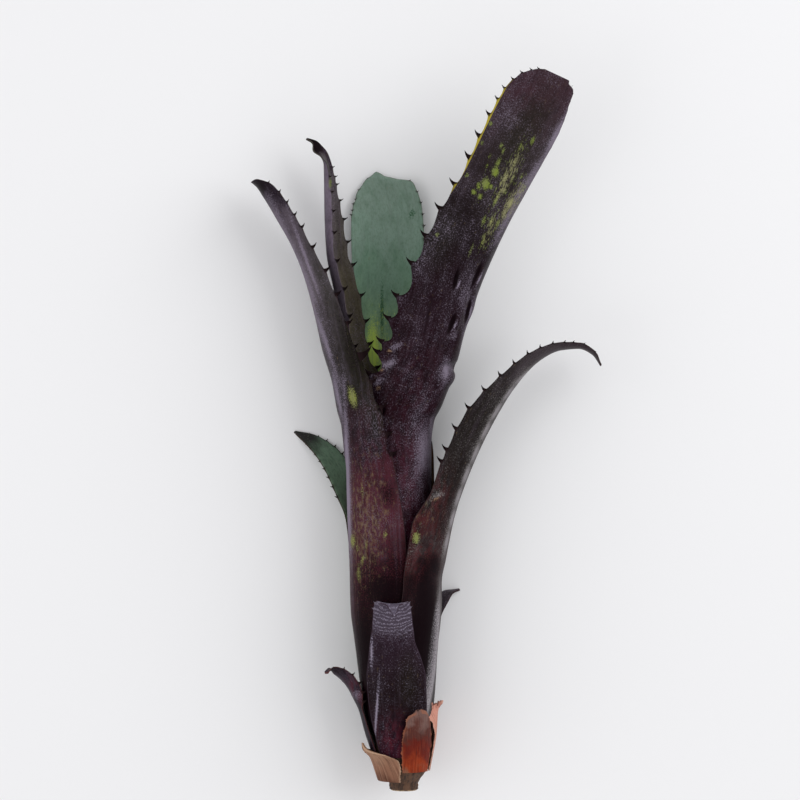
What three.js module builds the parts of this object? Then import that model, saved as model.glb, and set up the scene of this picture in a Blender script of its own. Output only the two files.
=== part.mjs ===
// A dark billbergia pup lying on its back, as picked. Clasping leaves make a tube and
// spread at its top, with hooked spines along their margins. Dry sheaths and a short
// woody stem are at the foot.
//
// Millimetres. X runs to the right of the tube, Y from the cut end of the stem to the
// leaf tips, and Z up from the surface that the plant lies on. Angles are in degrees
// round the tube: 0 is its right side, 90 its top, 180 its left and 270 its back.

import * as THREE from "three";

// Leaves
const LEAF_THICKNESS = 0.9;
const MARGIN_THICKNESS = 0.62;
const LEAF_TIP_THICKNESS = 0.37;
const LAYER_STEP = 1.35;
const ROW_STEP_IN_TUBE = 8;
const ROW_EASE = 0.12;
const BLADE_FRAME_RAMP = 26;

// Margins: the grid of a leaf stops short of them, and joins them through one strip
const MARGIN_INSET = 0.8;
const MARGIN_INSET_SHARE = 0.4;
const MARGIN_STEP = 0.06;
const TIP_CLEARANCE = 0.25;
const TIP_ROWS = [2.6, 1.3];
const SCALLOP_SHARES = [0.25, 0.6];
const SCALLOP_FULLNESS = 0.8;

// Spines: each leans towards the leaf's tip, and is small near the tip
const SPINE_TIP_THICKNESS = 0.2;
const SPINE_ROOT_SHARE = 0.42;
const SPINE_LEAN_SHARE = 0.9;
const SMALL_SPINE_SHARE = 0.35;
const FULL_SPINE_WIDTH = 5;

// The strip between grid and margin: what counts as a folded triangle, and its price
const FOLD_LIMIT = 0.02;
const FOLD_PRICE = 1e4;

// The tube lies on the leaf of layer 1, whose lowest facets are pressed flat
const BELLY_RADIUS = 19.05;
const FLAT_DEPTH = 0.52;

// Stem
const STEM_SIDES = 20;
const STEM_CLEARANCE = 0.3;
const STUB_RADIUS = 5.6;
const SHEATH_FOOT = 8;
const SHEATH_SEAT_DEPTH = 0.9;

const FINISHES = {
  dark: { color: 0x3a2a35, roughness: 0.45, metalness: 0 },
  green: { color: 0x4f7358, roughness: 0.5, metalness: 0 },
  dry: { color: 0x9a5f3c, roughness: 0.85, metalness: 0 },
  wood: { color: 0x6b5038, roughness: 0.9, metalness: 0 },
};

// Height, then the x of the tube's axis
const TUBE_AXIS = [
  [0, 3.2],
  [12, 2.2],
  [36, 0.4],
  [56, -0.4],
  [80, -0.7],
  [128, -2.2],
  [144, -2.2],
  [176, -3],
];

// Height, then the outer radius of layer 0
const TUBE_RADIUS = [
  [0, 7.6],
  [8, 9.8],
  [14, 11.5],
  [20, 13.1],
  [28, 14.9],
  [36, 16.3],
  [46, 17.5],
  [56, 18.4],
  [68, 19.9],
  [74, 20.4],
  [176, 20.4],
];

const radians = THREE.MathUtils.degToRad;

// Slope of a curve that passes through its points and never swings past them
function slopeAt(rows, index, column) {
  if (index === 0 || index === rows.length - 1) {
    const first = index === 0 ? 0 : index - 1;
    return (rows[first + 1][column] - rows[first][column]) / (rows[first + 1][0] - rows[first][0]);
  }
  const below = (rows[index][column] - rows[index - 1][column]) / (rows[index][0] - rows[index - 1][0]);
  const above = (rows[index + 1][column] - rows[index][column]) / (rows[index + 1][0] - rows[index][0]);
  return below * above <= 0 ? 0 : (2 * below * above) / (below + above);
}

// Values of a table at a place, where the first column is the place
function readTable(rows, place) {
  const last = rows.length - 1;
  const at = THREE.MathUtils.clamp(place, rows[0][0], rows[last][0]);
  let index = 0;
  while (index < last - 1 && at > rows[index + 1][0]) index += 1;
  const span = rows[index + 1][0] - rows[index][0];
  const t = (at - rows[index][0]) / span;
  const values = [];
  for (let column = 1; column < rows[0].length; column += 1) {
    const rise = slopeAt(rows, index, column) * span * t * (1 - t) ** 2;
    const fall = slopeAt(rows, index + 1, column) * span * t * t * (t - 1);
    const mix = t * t * (3 - 2 * t);
    values.push(rows[index][column] * (1 - mix) + rows[index + 1][column] * mix + rise + fall);
  }
  return values;
}

const tubeAxis = (height) => readTable(TUBE_AXIS, height)[0];
const layerRadius = (height, layer) => readTable(TUBE_RADIUS, height)[0] - layer * LAYER_STEP;

// A station of a leaf: [x, height, z, face, curl, low, high, roll]. x, height and z place
// the midrib, face is the direction its outer side looks in, curl is the radius that the
// leaf is rolled to, low and high are its widths on either side of the midrib, towards
// the smaller and the greater angle, and roll turns it about its own length.
function tubeStation(leaf, height) {
  const radius = layerRadius(height, leaf.layer);
  const [lowAngle, highAngle] = readTable(leaf.wrap, height);
  const turn = radians(leaf.midrib);
  return [
    tubeAxis(height) + radius * Math.cos(turn),
    height,
    BELLY_RADIUS + radius * Math.sin(turn),
    leaf.midrib,
    radius,
    radius * radians(leaf.midrib - lowAngle),
    radius * radians(highAngle - leaf.midrib),
    0,
  ];
}

// The leaf's stations from its foot to its tip, each behind its distance from the foot
function measuredStations(leaf) {
  const stations = [];
  const steps = Math.round((leaf.leaves - leaf.foot) / ROW_STEP_IN_TUBE);
  for (let step = 0; step <= steps; step += 1) {
    stations.push(tubeStation(leaf, leaf.foot + ((leaf.leaves - leaf.foot) * step) / steps));
  }
  stations.push(...leaf.blade);
  let along = 0;
  const rows = stations.map((station, index) => {
    if (index > 0) {
      const before = stations[index - 1];
      along += Math.hypot(station[0] - before[0], station[1] - before[1], station[2] - before[2]);
    }
    return [along, ...station];
  });
  return { rows, tubeRows: steps + 1 };
}

// The leaf's frame at a distance from its foot
function frameAt(plan, along) {
  const [x, height, z, face, curl, low, high, roll] = readTable(plan.rows, along);
  const end = plan.rows[plan.rows.length - 1][0];
  const before = readTable(plan.rows, Math.max(along - 0.5, 0));
  const after = readTable(plan.rows, Math.min(along + 0.5, end));
  const run = new THREE.Vector3(after[0] - before[0], after[1] - before[1], after[2] - before[2]).normalize();
  const free = THREE.MathUtils.smoothstep(along, plan.leavesAt, plan.leavesAt + plan.ramp);
  const up = new THREE.Vector3(0, 1, 0).lerp(run, free).normalize();
  const side = new THREE.Vector3(-Math.sin(radians(face)), 0, Math.cos(radians(face)));
  side.addScaledVector(up, -side.dot(up)).normalize().applyAxisAngle(up, radians(roll));
  const out = new THREE.Vector3().crossVectors(up, side);
  return { middle: new THREE.Vector3(x, height, z), side, out, curl, low, high };
}

// A point on the leaf's outer side, across from the midrib, and one below it
function skinPoint(frame, across, depth) {
  const turn = across / frame.curl;
  const reach = frame.curl - depth;
  const point = frame.middle.clone();
  point.addScaledVector(frame.side, reach * Math.sin(turn));
  point.addScaledVector(frame.out, reach * Math.cos(turn) - frame.curl);
  return point;
}

// Where the spines of one margin stand, counted from the tip down, and how long they are
function spinePlaces(leaf, plan, shift) {
  const { first, pitch, widest, length, stop } = leaf.spines;
  const end = plan.rows[plan.rows.length - 1][0];
  const places = [];
  let fromTip = first + shift * pitch;
  while (end - fromTip > stop) {
    const grown = THREE.MathUtils.smoothstep(fromTip, 0, leaf.spines.grows);
    places.unshift({ along: end - fromTip, length: THREE.MathUtils.lerp(SMALL_SPINE_SHARE, 1, grown) * length });
    fromTip += pitch + (widest - pitch) * grown;
  }
  return places;
}

// The margin as points [distance from the foot, reach past the plain margin, thickness],
// and true after them at the tip of a spine
function marginPoints(leaf, plan, shift, alongs) {
  const places = spinePlaces(leaf, plan, shift);
  const end = plan.rows[plan.rows.length - 1][0];
  const rootOf = (place) => place.length * SPINE_ROOT_SHARE;
  const points = alongs
    .filter((along) => places.length === 0 || along < places[0].along - rootOf(places[0]) - 1)
    .map((along) => [along, 0, MARGIN_THICKNESS]);
  places.forEach((place, index) => {
    const root = rootOf(place);
    points.push([place.along - root, 0, MARGIN_THICKNESS]);
    points.push([place.along + root * SPINE_LEAN_SHARE, place.length, SPINE_TIP_THICKNESS, true]);
    points.push([place.along + root, 0, MARGIN_THICKNESS]);
    const next = places[index + 1];
    if (next) {
      const from = place.along + root;
      const to = next.along - rootOf(next);
      const depth = leaf.spines.scallop * Math.min(1, (to - from) / leaf.spines.widest);
      for (const share of SCALLOP_SHARES) {
        const dip = depth * Math.sin(Math.PI * share) ** SCALLOP_FULLNESS;
        points.push([from + (to - from) * share, -dip, MARGIN_THICKNESS]);
      }
    }
  });
  const lastSpine = places.length === 0 ? end : places[places.length - 1].along;
  for (const along of [...alongs, end - TIP_ROWS[0], end - TIP_ROWS[1]]) {
    if (along > lastSpine + 1.5) points.push([along, 0, MARGIN_THICKNESS]);
  }
  return points.filter((point) => point[0] < end - MARGIN_INSET).sort((a, b) => a[0] - b[0]);
}

// How bad a triangle of the margin strip is: its longest reach, and far more if it folds back
function stripPrice(a, b, c, sign) {
  const area = (b.along - a.along) * (c.across - a.across) - (b.across - a.across) * (c.along - a.along);
  const reach = (p, q) => (p.along - q.along) ** 2 + (p.across - q.across) ** 2;
  const folded = area * sign < FOLD_LIMIT ? FOLD_PRICE : 0;
  return folded + Math.max(reach(a, b), reach(b, c), reach(a, c));
}

// Joins the edge of the leaf's grid to its margin by the strip of triangles that costs least
function stitch(inner, edge, sign, face) {
  const ways = inner.map(() => []);
  for (let i = 0; i < inner.length; i += 1) {
    for (let k = 0; k < edge.length; k += 1) {
      const here = { price: i + k === 0 ? 0 : Infinity, byInner: false };
      if (k > 0) here.price = ways[i][k - 1].price + stripPrice(inner[i], edge[k], edge[k - 1], sign);
      if (i > 0) {
        const price = ways[i - 1][k].price + stripPrice(inner[i - 1], inner[i], edge[k], sign);
        if (price < here.price) Object.assign(here, { price, byInner: true });
      }
      ways[i].push(here);
    }
  }
  let i = inner.length - 1;
  let k = edge.length - 1;
  while (i + k > 0) {
    if (ways[i][k].byInner) {
      face(inner[i - 1].id, inner[i].id, edge[k].id);
      i -= 1;
    } else {
      face(inner[i].id, edge[k].id, edge[k - 1].id);
      k -= 1;
    }
  }
}

// A leaf as one closed body: a grid down its middle, margins with spines, and a point
function leafGeometry(leaf) {
  const measured = measuredStations(leaf);
  const leavesAt = measured.rows[measured.tubeRows - 1][0];
  const plan = { ...measured, leavesAt, ramp: leaf.ramp ?? BLADE_FRAME_RAMP };
  const end = plan.rows[plan.rows.length - 1][0];
  const positions = [];
  const faces = [];
  let count = 0;

  // Each vertex of the plan stands for two: one on the outer side and one on the inner
  const addPair = (along, across, thickness) => {
    const frame = frameAt(plan, along);
    const outer = skinPoint(frame, across, 0);
    const inner = skinPoint(frame, across, thickness);
    if (outer.z < FLAT_DEPTH) outer.z = 0;
    positions.push(...outer, ...inner);
    count += 1;
    return count - 1;
  };
  const addFace = (a, b, c) => {
    faces.push(2 * a, 2 * c, 2 * b, 2 * a + 1, 2 * b + 1, 2 * c + 1);
  };
  const addWall = (a, b) => {
    faces.push(2 * a, 2 * b, 2 * a + 1, 2 * b, 2 * b + 1, 2 * a + 1);
  };

  const alongs = plan.rows.slice(0, plan.tubeRows).map((row) => row[0]);
  const bladeLength = end - leavesAt;
  const bladeRows = Math.round(bladeLength / leaf.rowStep);
  for (let row = 1; row < bladeRows; row += 1) {
    const share = row / bladeRows;
    alongs.push(leavesAt + bladeLength * share * (1 + ROW_EASE - ROW_EASE * share));
  }

  const { columns } = leaf;
  const grid = alongs.map((along) => {
    const { low, high } = frameAt(plan, along);
    const insetLow = Math.min(leaf.spines.scallop + MARGIN_INSET, low * MARGIN_INSET_SHARE);
    const insetHigh = Math.min(leaf.spines.scallop + MARGIN_INSET, high * MARGIN_INSET_SHARE);
    const ids = [];
    for (let column = 0; column <= columns; column += 1) {
      const share = column / columns;
      const across = -(low - insetLow) * (1 - share) + (high - insetHigh) * share;
      const edgeward = Math.abs(2 * share - 1) ** 3;
      const thickness = THREE.MathUtils.lerp(LEAF_THICKNESS, MARGIN_THICKNESS + MARGIN_STEP, edgeward);
      ids.push({ along, across, id: addPair(along, across, thickness) });
    }
    return ids;
  });
  for (let row = 0; row < grid.length - 1; row += 1) {
    for (let column = 0; column < columns; column += 1) {
      const a = grid[row][column].id;
      const b = grid[row][column + 1].id;
      const c = grid[row + 1][column + 1].id;
      const d = grid[row + 1][column].id;
      addFace(a, b, c);
      addFace(a, c, d);
    }
  }

  const tip = addPair(end, 0, LEAF_TIP_THICKNESS);
  const top = grid[grid.length - 1];
  for (let column = 0; column < columns; column += 1) {
    addFace(top[column].id, top[column + 1].id, tip);
  }

  const margin = (shift, sign) => {
    return marginPoints(leaf, plan, shift, alongs).map(([along, reach, thickness, isTip]) => {
      const { low, high } = frameAt(plan, along);
      const width = sign < 0 ? low : high;
      const slim = THREE.MathUtils.clamp(width / FULL_SPINE_WIDTH, 0, 1);
      const inTip = along > top[0].along ? (end - along) / (end - top[0].along) : 0;
      const clear = Math.abs(top[sign < 0 ? 0 : columns].across) * inTip + TIP_CLEARANCE;
      const across = sign * Math.max(width + reach * slim, inTip > 0 ? clear : 0);
      return { along, across, isTip, id: addPair(along, across, thickness) };
    });
  };
  const lowEdge = margin(0, -1);
  const highEdge = margin(0.5, 1);
  const lowInner = grid.map((row) => row[0]);
  const highInner = grid.map((row) => row[columns]);
  const joinMargin = (inner, edge, sign, face) => {
    stitch(inner, edge.filter((point) => !point.isTip), sign, face);
    edge.forEach((point, k) => {
      if (point.isTip) face(edge[k - 1].id, edge[k + 1].id, point.id);
    });
    face(inner[inner.length - 1].id, tip, edge[edge.length - 1].id);
  };
  joinMargin(lowInner, lowEdge, -1, (a, b, c) => addFace(a, b, c));
  joinMargin(highInner, highEdge, 1, (a, b, c) => addFace(a, c, b));

  for (let k = 0; k < lowEdge.length - 1; k += 1) addWall(lowEdge[k + 1].id, lowEdge[k].id);
  addWall(tip, lowEdge[lowEdge.length - 1].id);
  for (let k = 0; k < highEdge.length - 1; k += 1) addWall(highEdge[k].id, highEdge[k + 1].id);
  addWall(highEdge[highEdge.length - 1].id, tip);
  const foot = [lowEdge[0], ...grid[0], highEdge[0]];
  for (let k = 0; k < foot.length - 1; k += 1) addWall(foot[k].id, foot[k + 1].id);

  const geometry = new THREE.BufferGeometry();
  geometry.setAttribute("position", new THREE.Float32BufferAttribute(positions, 3));
  geometry.setIndex(faces);
  return geometry;
}

const BIG_SPINES = { first: 8, pitch: 4.6, widest: 11.5, grows: 50, length: 2.7, scallop: 1.7, stop: 118 };

const LEAVES = [
  {
    name: "leaf_left_inner",
    finish: "dark",
    layer: 5,
    midrib: 200,
    foot: 36,
    leaves: 156,
    wrap: [
      [36, 90, 320],
      [120, 112, 300],
      [140, 130, 288],
      [156, 142, 274],
    ],
    blade: [
      [-19.6, 176, 15.5, 199, 13.4, 15, 14.6, 0],
      [-22.4, 190, 15.2, 198, 12.5, 14.3, 13.8, 0],
      [-24.6, 201, 15.8, 198, 11, 13.2, 13, 0],
      [-27.4, 214, 16.6, 197, 10, 11.8, 11.8, 0],
      [-28.3, 227, 17.4, 195, 9, 10.7, 10.5, 0],
      [-28.6, 240, 18.6, 192, 7.5, 8.6, 8.0, 0],
      [-28.8, 250, 19.6, 190, 5.5, 5.6, 5.2, 0],
      [-30.2, 256, 20.2, 190, 4.5, 3.6, 4.4, 18],
      [-33, 259.2, 20.4, 190, 4.5, 2, 4, 40],
      [-36.0, 260.2, 20.4, 190, 4.5, 0.3, 0.3, 40],
    ],
    columns: 10,
    rowStep: 7,
    spines: { ...BIG_SPINES, first: 13, pitch: 4.4, grows: 75, length: 2.3, stop: 132 },
  },
  {
    name: "leaf_back_green",
    finish: "green",
    layer: 4,
    midrib: 270,
    foot: 31,
    leaves: 150,
    wrap: [
      [31, 170, 370],
      [120, 190, 350],
      [150, 206, 334],
    ],
    blade: [
      [-4.6, 170, 4.6, 270, 17, 14.2, 14.2, 0],
      [-4.8, 187, 2.6, 270, 21, 13.8, 13.8, 0],
      [-4.2, 204, 0.9, 270, 25, 14.6, 14.6, 0],
      [-3.6, 220, 0.1, 270, 27, 16, 16, 0],
      [-4.2, 232, 0.1, 270, 27, 14.8, 15.8, 0],
      [-5.4, 239.6, 0.6, 270, 26, 12, 14.2, 0],
      [-6.8, 243.8, 1.2, 270, 25, 8.6, 11.4, 0],
      [-7.6, 246.2, 1.8, 270, 25, 5, 7.4, 0],
      [-8.2, 248.6, 2.2, 270, 25, 0.4, 0.4, 0],
    ],
    columns: 10,
    rowStep: 6.5,
    spines: { first: 8, pitch: 3.6, widest: 6.5, grows: 60, length: 1.2, scallop: 0.6, stop: 176 },
  },
  {
    name: "leaf_right_broad",
    finish: "dark",
    layer: 3,
    midrib: 55,
    foot: 27,
    leaves: 139,
    wrap: [
      [27, -70, 185],
      [120, -65, 165],
      [139, -60, 154],
    ],
    blade: [
      [8.4, 148, 32.8, 55, 16.4, 32, 27, 0],
      [12.0, 156, 33, 56, 16.4, 26.6, 25.4, 0],
      [15.2, 164, 33.2, 56, 16.3, 25.4, 25.6, 0],
      [17.4, 172, 33.5, 57, 16, 23.6, 24, 0],
      [20.6, 184, 34, 58, 15.5, 21.6, 21.6, 0],
      [26.8, 202, 35.4, 60, 15, 20.4, 18.8, 0],
      [33.4, 218, 37.6, 62, 15, 19.4, 17.4, 0],
      [42.8, 240, 41.4, 66, 17, 18.8, 17.8, 0],
      [51.6, 260, 45, 70, 20, 17.4, 17.6, 0],
      [57.2, 272, 47, 72, 23, 14.6, 16.2, 0],
      [60.4, 279, 48, 74, 25, 10, 12.8, 0],
      [61.8, 282.4, 48.4, 75, 25, 5.6, 9, 0],
      [62.6, 284.2, 48.6, 75, 25, 1.6, 2.6, 0],
    ],
    columns: 14,
    rowStep: 7,
    spines: { ...BIG_SPINES, first: 1.6, pitch: 2.8, widest: 11.8, grows: 44, length: 2.8, scallop: 2, stop: 124 },
  },
  {
    name: "leaf_left_outer",
    finish: "dark",
    layer: 2,
    midrib: 180,
    foot: 23,
    leaves: 127,
    wrap: [
      [23, 70, 350],
      [104, 73, 352],
      [117, 78, 351],
      [127, 83, 351],
    ],
    blade: [
      [-21.0, 137, 19.4, 180, 18.5, 29, 51, 0],
      [-21.9, 145.6, 19.8, 180, 19.3, 28.6, 38, 0],
      [-23.6, 152, 19.8, 180, 18.6, 27.6, 29, 0],
      [-25.7, 163, 19.6, 180, 16.6, 24.6, 23.4, 0],
      [-29.2, 175, 20, 180, 15.5, 22.2, 20, 0],
      [-32.6, 190, 20.4, 180, 14, 19.2, 18, 0],
      [-36.6, 204.4, 20.8, 180, 12.5, 16.2, 16, 0],
      [-42.0, 218, 21.2, 180, 11.5, 13.6, 14, 0],
      [-48.4, 229.3, 21.4, 178, 12, 13.4, 13.2, 0],
      [-53.0, 237, 21.2, 176, 13, 12.4, 12, 0],
      [-56.0, 241.4, 20.8, 176, 14, 7.6, 7.6, 0],
      [-58.0, 243, 20.4, 176, 14, 0.4, 0.4, 0],
    ],
    columns: 16,
    rowStep: 5.4,
    spines: { ...BIG_SPINES, widest: 12 },
  },
  {
    name: "leaf_right_arching",
    finish: "dark",
    layer: 1,
    midrib: 0,
    foot: 19,
    leaves: 83,
    wrap: [
      [19, -115, 98],
      [60, -115, 92],
      [75, -114, 82],
      [83, -109, 79],
    ],
    blade: [
      [20.0, 92.4, 19.4, 0, 19.3, 29.4, 27, 0],
      [22.3, 104, 19.8, 0, 19, 26, 27, 0],
      [24.0, 111, 20, 0, 18.2, 24, 24.4, 0],
      [25.6, 116.4, 20.2, 0, 17.2, 22.6, 21, 0],
      [30.2, 128.5, 20.8, 0, 14.6, 18.8, 17, 0],
      [38.3, 145.7, 21.6, 0, 12.4, 17, 17, 0],
      [47.4, 160.8, 22.2, 0, 12, 14.2, 14.2, 0],
      [58.0, 172, 22.6, 0, 12.6, 11.4, 11.4, 0],
      [66.0, 175.8, 22.6, 0, 13.4, 8.8, 8.8, 0],
      [73.0, 176.4, 22.2, 0, 13.6, 6.8, 6.8, 0],
      [78.4, 174, 21.6, 0, 13.6, 4, 4, 0],
      [81.6, 169.6, 20.8, 0, 13.6, 0.4, 0.4, 0],
    ],
    columns: 14,
    rowStep: 7,
    spines: { ...BIG_SPINES, first: 9, pitch: 3.8, widest: 10.2, grows: 75, length: 2.5, stop: 112 },
  },
  {
    name: "leaf_back_left",
    finish: "green",
    layer: 1,
    midrib: 219,
    foot: 19,
    leaves: 92,
    wrap: [
      [19, 202, 240],
      [92, 202, 240],
    ],
    blade: [
      [-17.6, 108, 6.6, 224, 19, 4.6, 7.6, 0],
      [-21.8, 120, 6.0, 240, 20, 4.2, 8, 0],
      [-27.4, 131, 4.2, 250, 20, 3.6, 6.8, 0],
      [-34.4, 138.8, 1.6, 262, 20, 2.6, 3.8, 0],
      [-41.4, 143, 0.1, 268, 20, 0.4, 0.4, 0],
    ],
    columns: 6,
    rowStep: 6,
    spines: { first: 6, pitch: 4.2, widest: 5.6, grows: 30, length: 1, scallop: 0.5, stop: 98 },
  },
  {
    name: "leaf_back_right_stub",
    finish: "dark",
    layer: 0,
    midrib: 312,
    foot: 14,
    leaves: 60,
    wrap: [
      [14, 288, 334],
      [60, 296, 330],
    ],
    blade: [
      [14.8, 68, 4.8, 312, 18, 4.8, 4.8, 0],
      [18.0, 74, 4.0, 308, 16, 4, 4, 0],
      [21.6, 77.6, 2.4, 304, 12, 2.6, 2.6, 0],
      [25.9, 78.6, 0.25, 300, 12, 0.4, 0.4, 0],
    ],
    columns: 6,
    rowStep: 5,
    spines: { first: 4, pitch: 3, widest: 4, grows: 30, length: 0.9, scallop: 0.3, stop: 56 },
  },
  {
    name: "leaf_front_short",
    finish: "dark",
    layer: 0,
    midrib: 90,
    foot: 14,
    leaves: 62,
    wrap: [
      [14, 34, 134],
      [32, 42, 134],
      [46, 47, 131],
      [56, 58, 124],
      [62, 66, 120],
    ],
    blade: [
      [-1.2, 69, 39.5, 90, 19, 7.7, 8.1, 0],
      [-1.2, 73, 40.1, 90, 18, 6.8, 7.4, 0],
      [-1.1, 75.2, 41.6, 90, 16, 4.8, 5, 0],
      [-1.0, 75.2, 43.8, 90, 14, 3.4, 3.4, 0],
      [-0.8, 73.4, 45.2, 90, 13, 1.8, 1.8, 0],
      [-0.6, 71.2, 45.4, 90, 12, 0.3, 0.3, 0],
    ],
    columns: 8,
    rowStep: 1.7,
    ramp: 4,
    spines: { first: 7, pitch: 2.6, widest: 4.4, grows: 30, length: 0.9, scallop: 0.3, stop: 58 },
  },
  {
    name: "leaf_base_left",
    finish: "dark",
    layer: 0,
    midrib: 180,
    foot: 14,
    leaves: 32,
    wrap: [
      [14, 144, 232],
      [32, 152, 222],
    ],
    blade: [
      [-17.6, 37, 19.4, 180, 14.6, 7.4, 9.4, 0],
      [-20.0, 42.4, 19.8, 180, 12, 6.2, 7.4, 0],
      [-23.0, 46.2, 20, 178, 9, 4.8, 5.2, 0],
      [-26.0, 47.6, 20, 176, 7, 3, 3, 0],
      [-28.4, 46.6, 19.8, 176, 7, 0.4, 0.4, 0],
    ],
    columns: 6,
    rowStep: 4,
    spines: { first: 3.4, pitch: 2.8, widest: 4, grows: 30, length: 1, scallop: 0.3, stop: 22 },
  },
];

// Dry scales outside the living leaves: a plain torn edge in place of spines
const TORN_EDGE = { first: 2.5, pitch: 3, widest: 3.4, grows: 30, length: 0.8, scallop: 0.5, stop: 6 };

const SHEATHS = [
  {
    name: "dry_sheath_front",
    finish: "dry",
    layer: -1,
    midrib: 56,
    foot: 8,
    leaves: 20,
    wrap: [
      [8, 25, 91],
      [20, 28, 88],
    ],
    blade: [
      [9.2, 26, 34.5, 58, 15.4, 6.4, 6.4, 0],
      [9.0, 30.4, 36, 60, 12, 4.4, 4.4, 0],
      [8.8, 33, 36.6, 62, 10, 1, 1, 0],
    ],
    columns: 6,
    rowStep: 3.5,
    spines: TORN_EDGE,
  },
  {
    name: "dry_sheath_right",
    finish: "dry",
    layer: -1,
    midrib: -10,
    foot: 8,
    leaves: 22,
    wrap: [
      [8, -48, 19],
      [22, -40, 20],
    ],
    blade: [
      [16.8, 28, 16.4, -8, 15, 8, 7, 0],
      [17.6, 32, 16.8, -4, 13, 6.4, 6.4, 0],
      [18.6, 35, 17.4, 0, 11, 2, 2, 0],
    ],
    columns: 6,
    rowStep: 3.5,
    spines: TORN_EDGE,
  },
  {
    name: "dry_sheath_collar",
    finish: "dry",
    layer: -1,
    midrib: 168,
    foot: 4,
    leaves: 13,
    wrap: [
      [4, 101, 300],
      [13, 101, 300],
    ],
    blade: [
      [-11.9, 15, 22, 168, 14.2, 9, 12, 0],
      [-13.0, 17, 22.2, 168, 15.2, 4, 4.6, 0],
      [-13.6, 18.8, 22.3, 168, 15.8, 0.8, 0.8, 0],
    ],
    columns: 10,
    rowStep: 1.5,
    spines: { ...TORN_EDGE, stop: 3 },
  },
];

// The stem lies just inside the innermost leaf at each height, and bends with the tube
function stemGeometry() {
  const seats = [[SHEATH_FOOT, layerRadius(SHEATH_FOOT, -1) - SHEATH_SEAT_DEPTH]];
  for (const leaf of LEAVES) seats.push([leaf.foot, layerRadius(leaf.foot, leaf.layer) - LEAF_THICKNESS]);
  seats.sort((a, b) => a[0] - b[0]);
  const profile = [
    [0, 0],
    [STUB_RADIUS - 0.5, 0],
    [STUB_RADIUS, 0.5],
    [STUB_RADIUS + 0.1, 3],
    ...seats.map(([height, radius]) => [radius - STEM_CLEARANCE, height]),
    [6.4, 41],
    [3.6, 44],
    [0, 45],
  ];
  const points = profile.map(([radius, height]) => new THREE.Vector2(radius, height));
  const geometry = new THREE.LatheGeometry(points, STEM_SIDES);
  const places = geometry.getAttribute("position");
  for (let index = 0; index < places.count; index += 1) {
    places.setX(index, places.getX(index) + tubeAxis(places.getY(index)));
  }
  return geometry;
}

function finishOf(name) {
  return new THREE.MeshStandardMaterial(FINISHES[name]);
}

const plant = new THREE.Group();

for (const leaf of [...LEAVES, ...SHEATHS]) {
  const mesh = new THREE.Mesh(leafGeometry(leaf), finishOf(leaf.finish));
  mesh.name = leaf.name;
  plant.add(mesh);
}

const stem = new THREE.Mesh(stemGeometry(), finishOf("wood"));
stem.name = "stem";
stem.position.z = BELLY_RADIUS;
plant.add(stem);

// The origin is under the middle of the whole plant
const box = new THREE.Box3().setFromObject(plant);
plant.position.set(-(box.min.x + box.max.x) / 2, -(box.min.y + box.max.y) / 2, -box.min.z);

export default plant;
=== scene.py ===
"""A dark billbergia pup lying on its back, dressed over its CAD frame.

The leaves follow the same stations as the frame, with finer margins, curved spines, dents,
scurf and blotches, and some painted sheen, highlights and shade. Dry sheaths and a short woody
stem are at the foot. Lengths are in millimetres until a mesh is filled. In the plant's own
coordinates x runs to the right, h from the cut end of the stem to the tips, and z up from the surface.
"""

import logging
import math
from collections.abc import Sequence
from dataclasses import dataclass, field
from enum import Enum

import bpy
import numpy as np
from mathutils import Matrix, Vector


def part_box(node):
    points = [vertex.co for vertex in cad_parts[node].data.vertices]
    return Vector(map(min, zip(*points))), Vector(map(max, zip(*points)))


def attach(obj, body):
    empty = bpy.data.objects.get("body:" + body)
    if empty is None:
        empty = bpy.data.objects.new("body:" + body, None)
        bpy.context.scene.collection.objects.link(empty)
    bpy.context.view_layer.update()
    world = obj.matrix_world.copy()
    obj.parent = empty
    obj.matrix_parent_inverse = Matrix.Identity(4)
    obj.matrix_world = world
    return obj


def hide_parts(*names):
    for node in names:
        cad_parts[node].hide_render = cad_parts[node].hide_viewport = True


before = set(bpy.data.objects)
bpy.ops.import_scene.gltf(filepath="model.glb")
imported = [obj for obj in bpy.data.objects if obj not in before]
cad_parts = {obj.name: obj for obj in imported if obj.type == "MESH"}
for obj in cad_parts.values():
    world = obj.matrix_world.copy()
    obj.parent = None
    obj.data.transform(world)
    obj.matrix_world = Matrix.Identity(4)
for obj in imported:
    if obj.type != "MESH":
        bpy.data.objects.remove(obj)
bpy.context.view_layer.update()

LOG = logging.getLogger("billbergia")
MM = 0.001

# Sizes that the leaves share
LEAF_THICKNESS = 0.9
MARGIN_THICKNESS = 0.5
RIM_THICKNESS = 0.16
LAYER_STEP = 1.35
BELLY_RADIUS = 19.05

# The stations and rows that a leaf is drawn through
STATION_STEP = 8
TUBE_ROW_STEP = 1.5
BLADE_ROW_STEP = 0.45
LEAST_ROWS = 4
ROW_CROWDING = 0.25
COLUMN_CROWDING = 0.22
FRAME_RAMP = 26.0
AIM_STEP = 0.5

# Shares of the thickness that are left beside the rim and in the last row, and how late it thins
BY_RIM_SHARE = 0.75
TIP_SHARE = 0.4
THINS_LATE = 3

# How far a margin's notches reach into the blade, and the width below which they and the spines shrink
NOTCH_REACH = 2.4
NOTCH_REACH_SHARE = 0.45
LEAST_REACH = 0.05
SLIM_WIDTH = 5

# The least share of their full size that notches and spines have near the tip, and where notches deepen
NOTCH_LEAST = 0.25
NOTCH_DEEPENS_AT = 80
NOTCH_DEEPENS_OVER = 35
SPINE_LEAST = 0.35

# The curve of a notch, and the mound that a spine stands on
NOTCH_LEAN = 0.62
NOTCH_FULLNESS = 0.9
MOUND_HEIGHT = 0.2
MOUND_BELOW = 0.5
MOUND_ABOVE = 0.14

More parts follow.
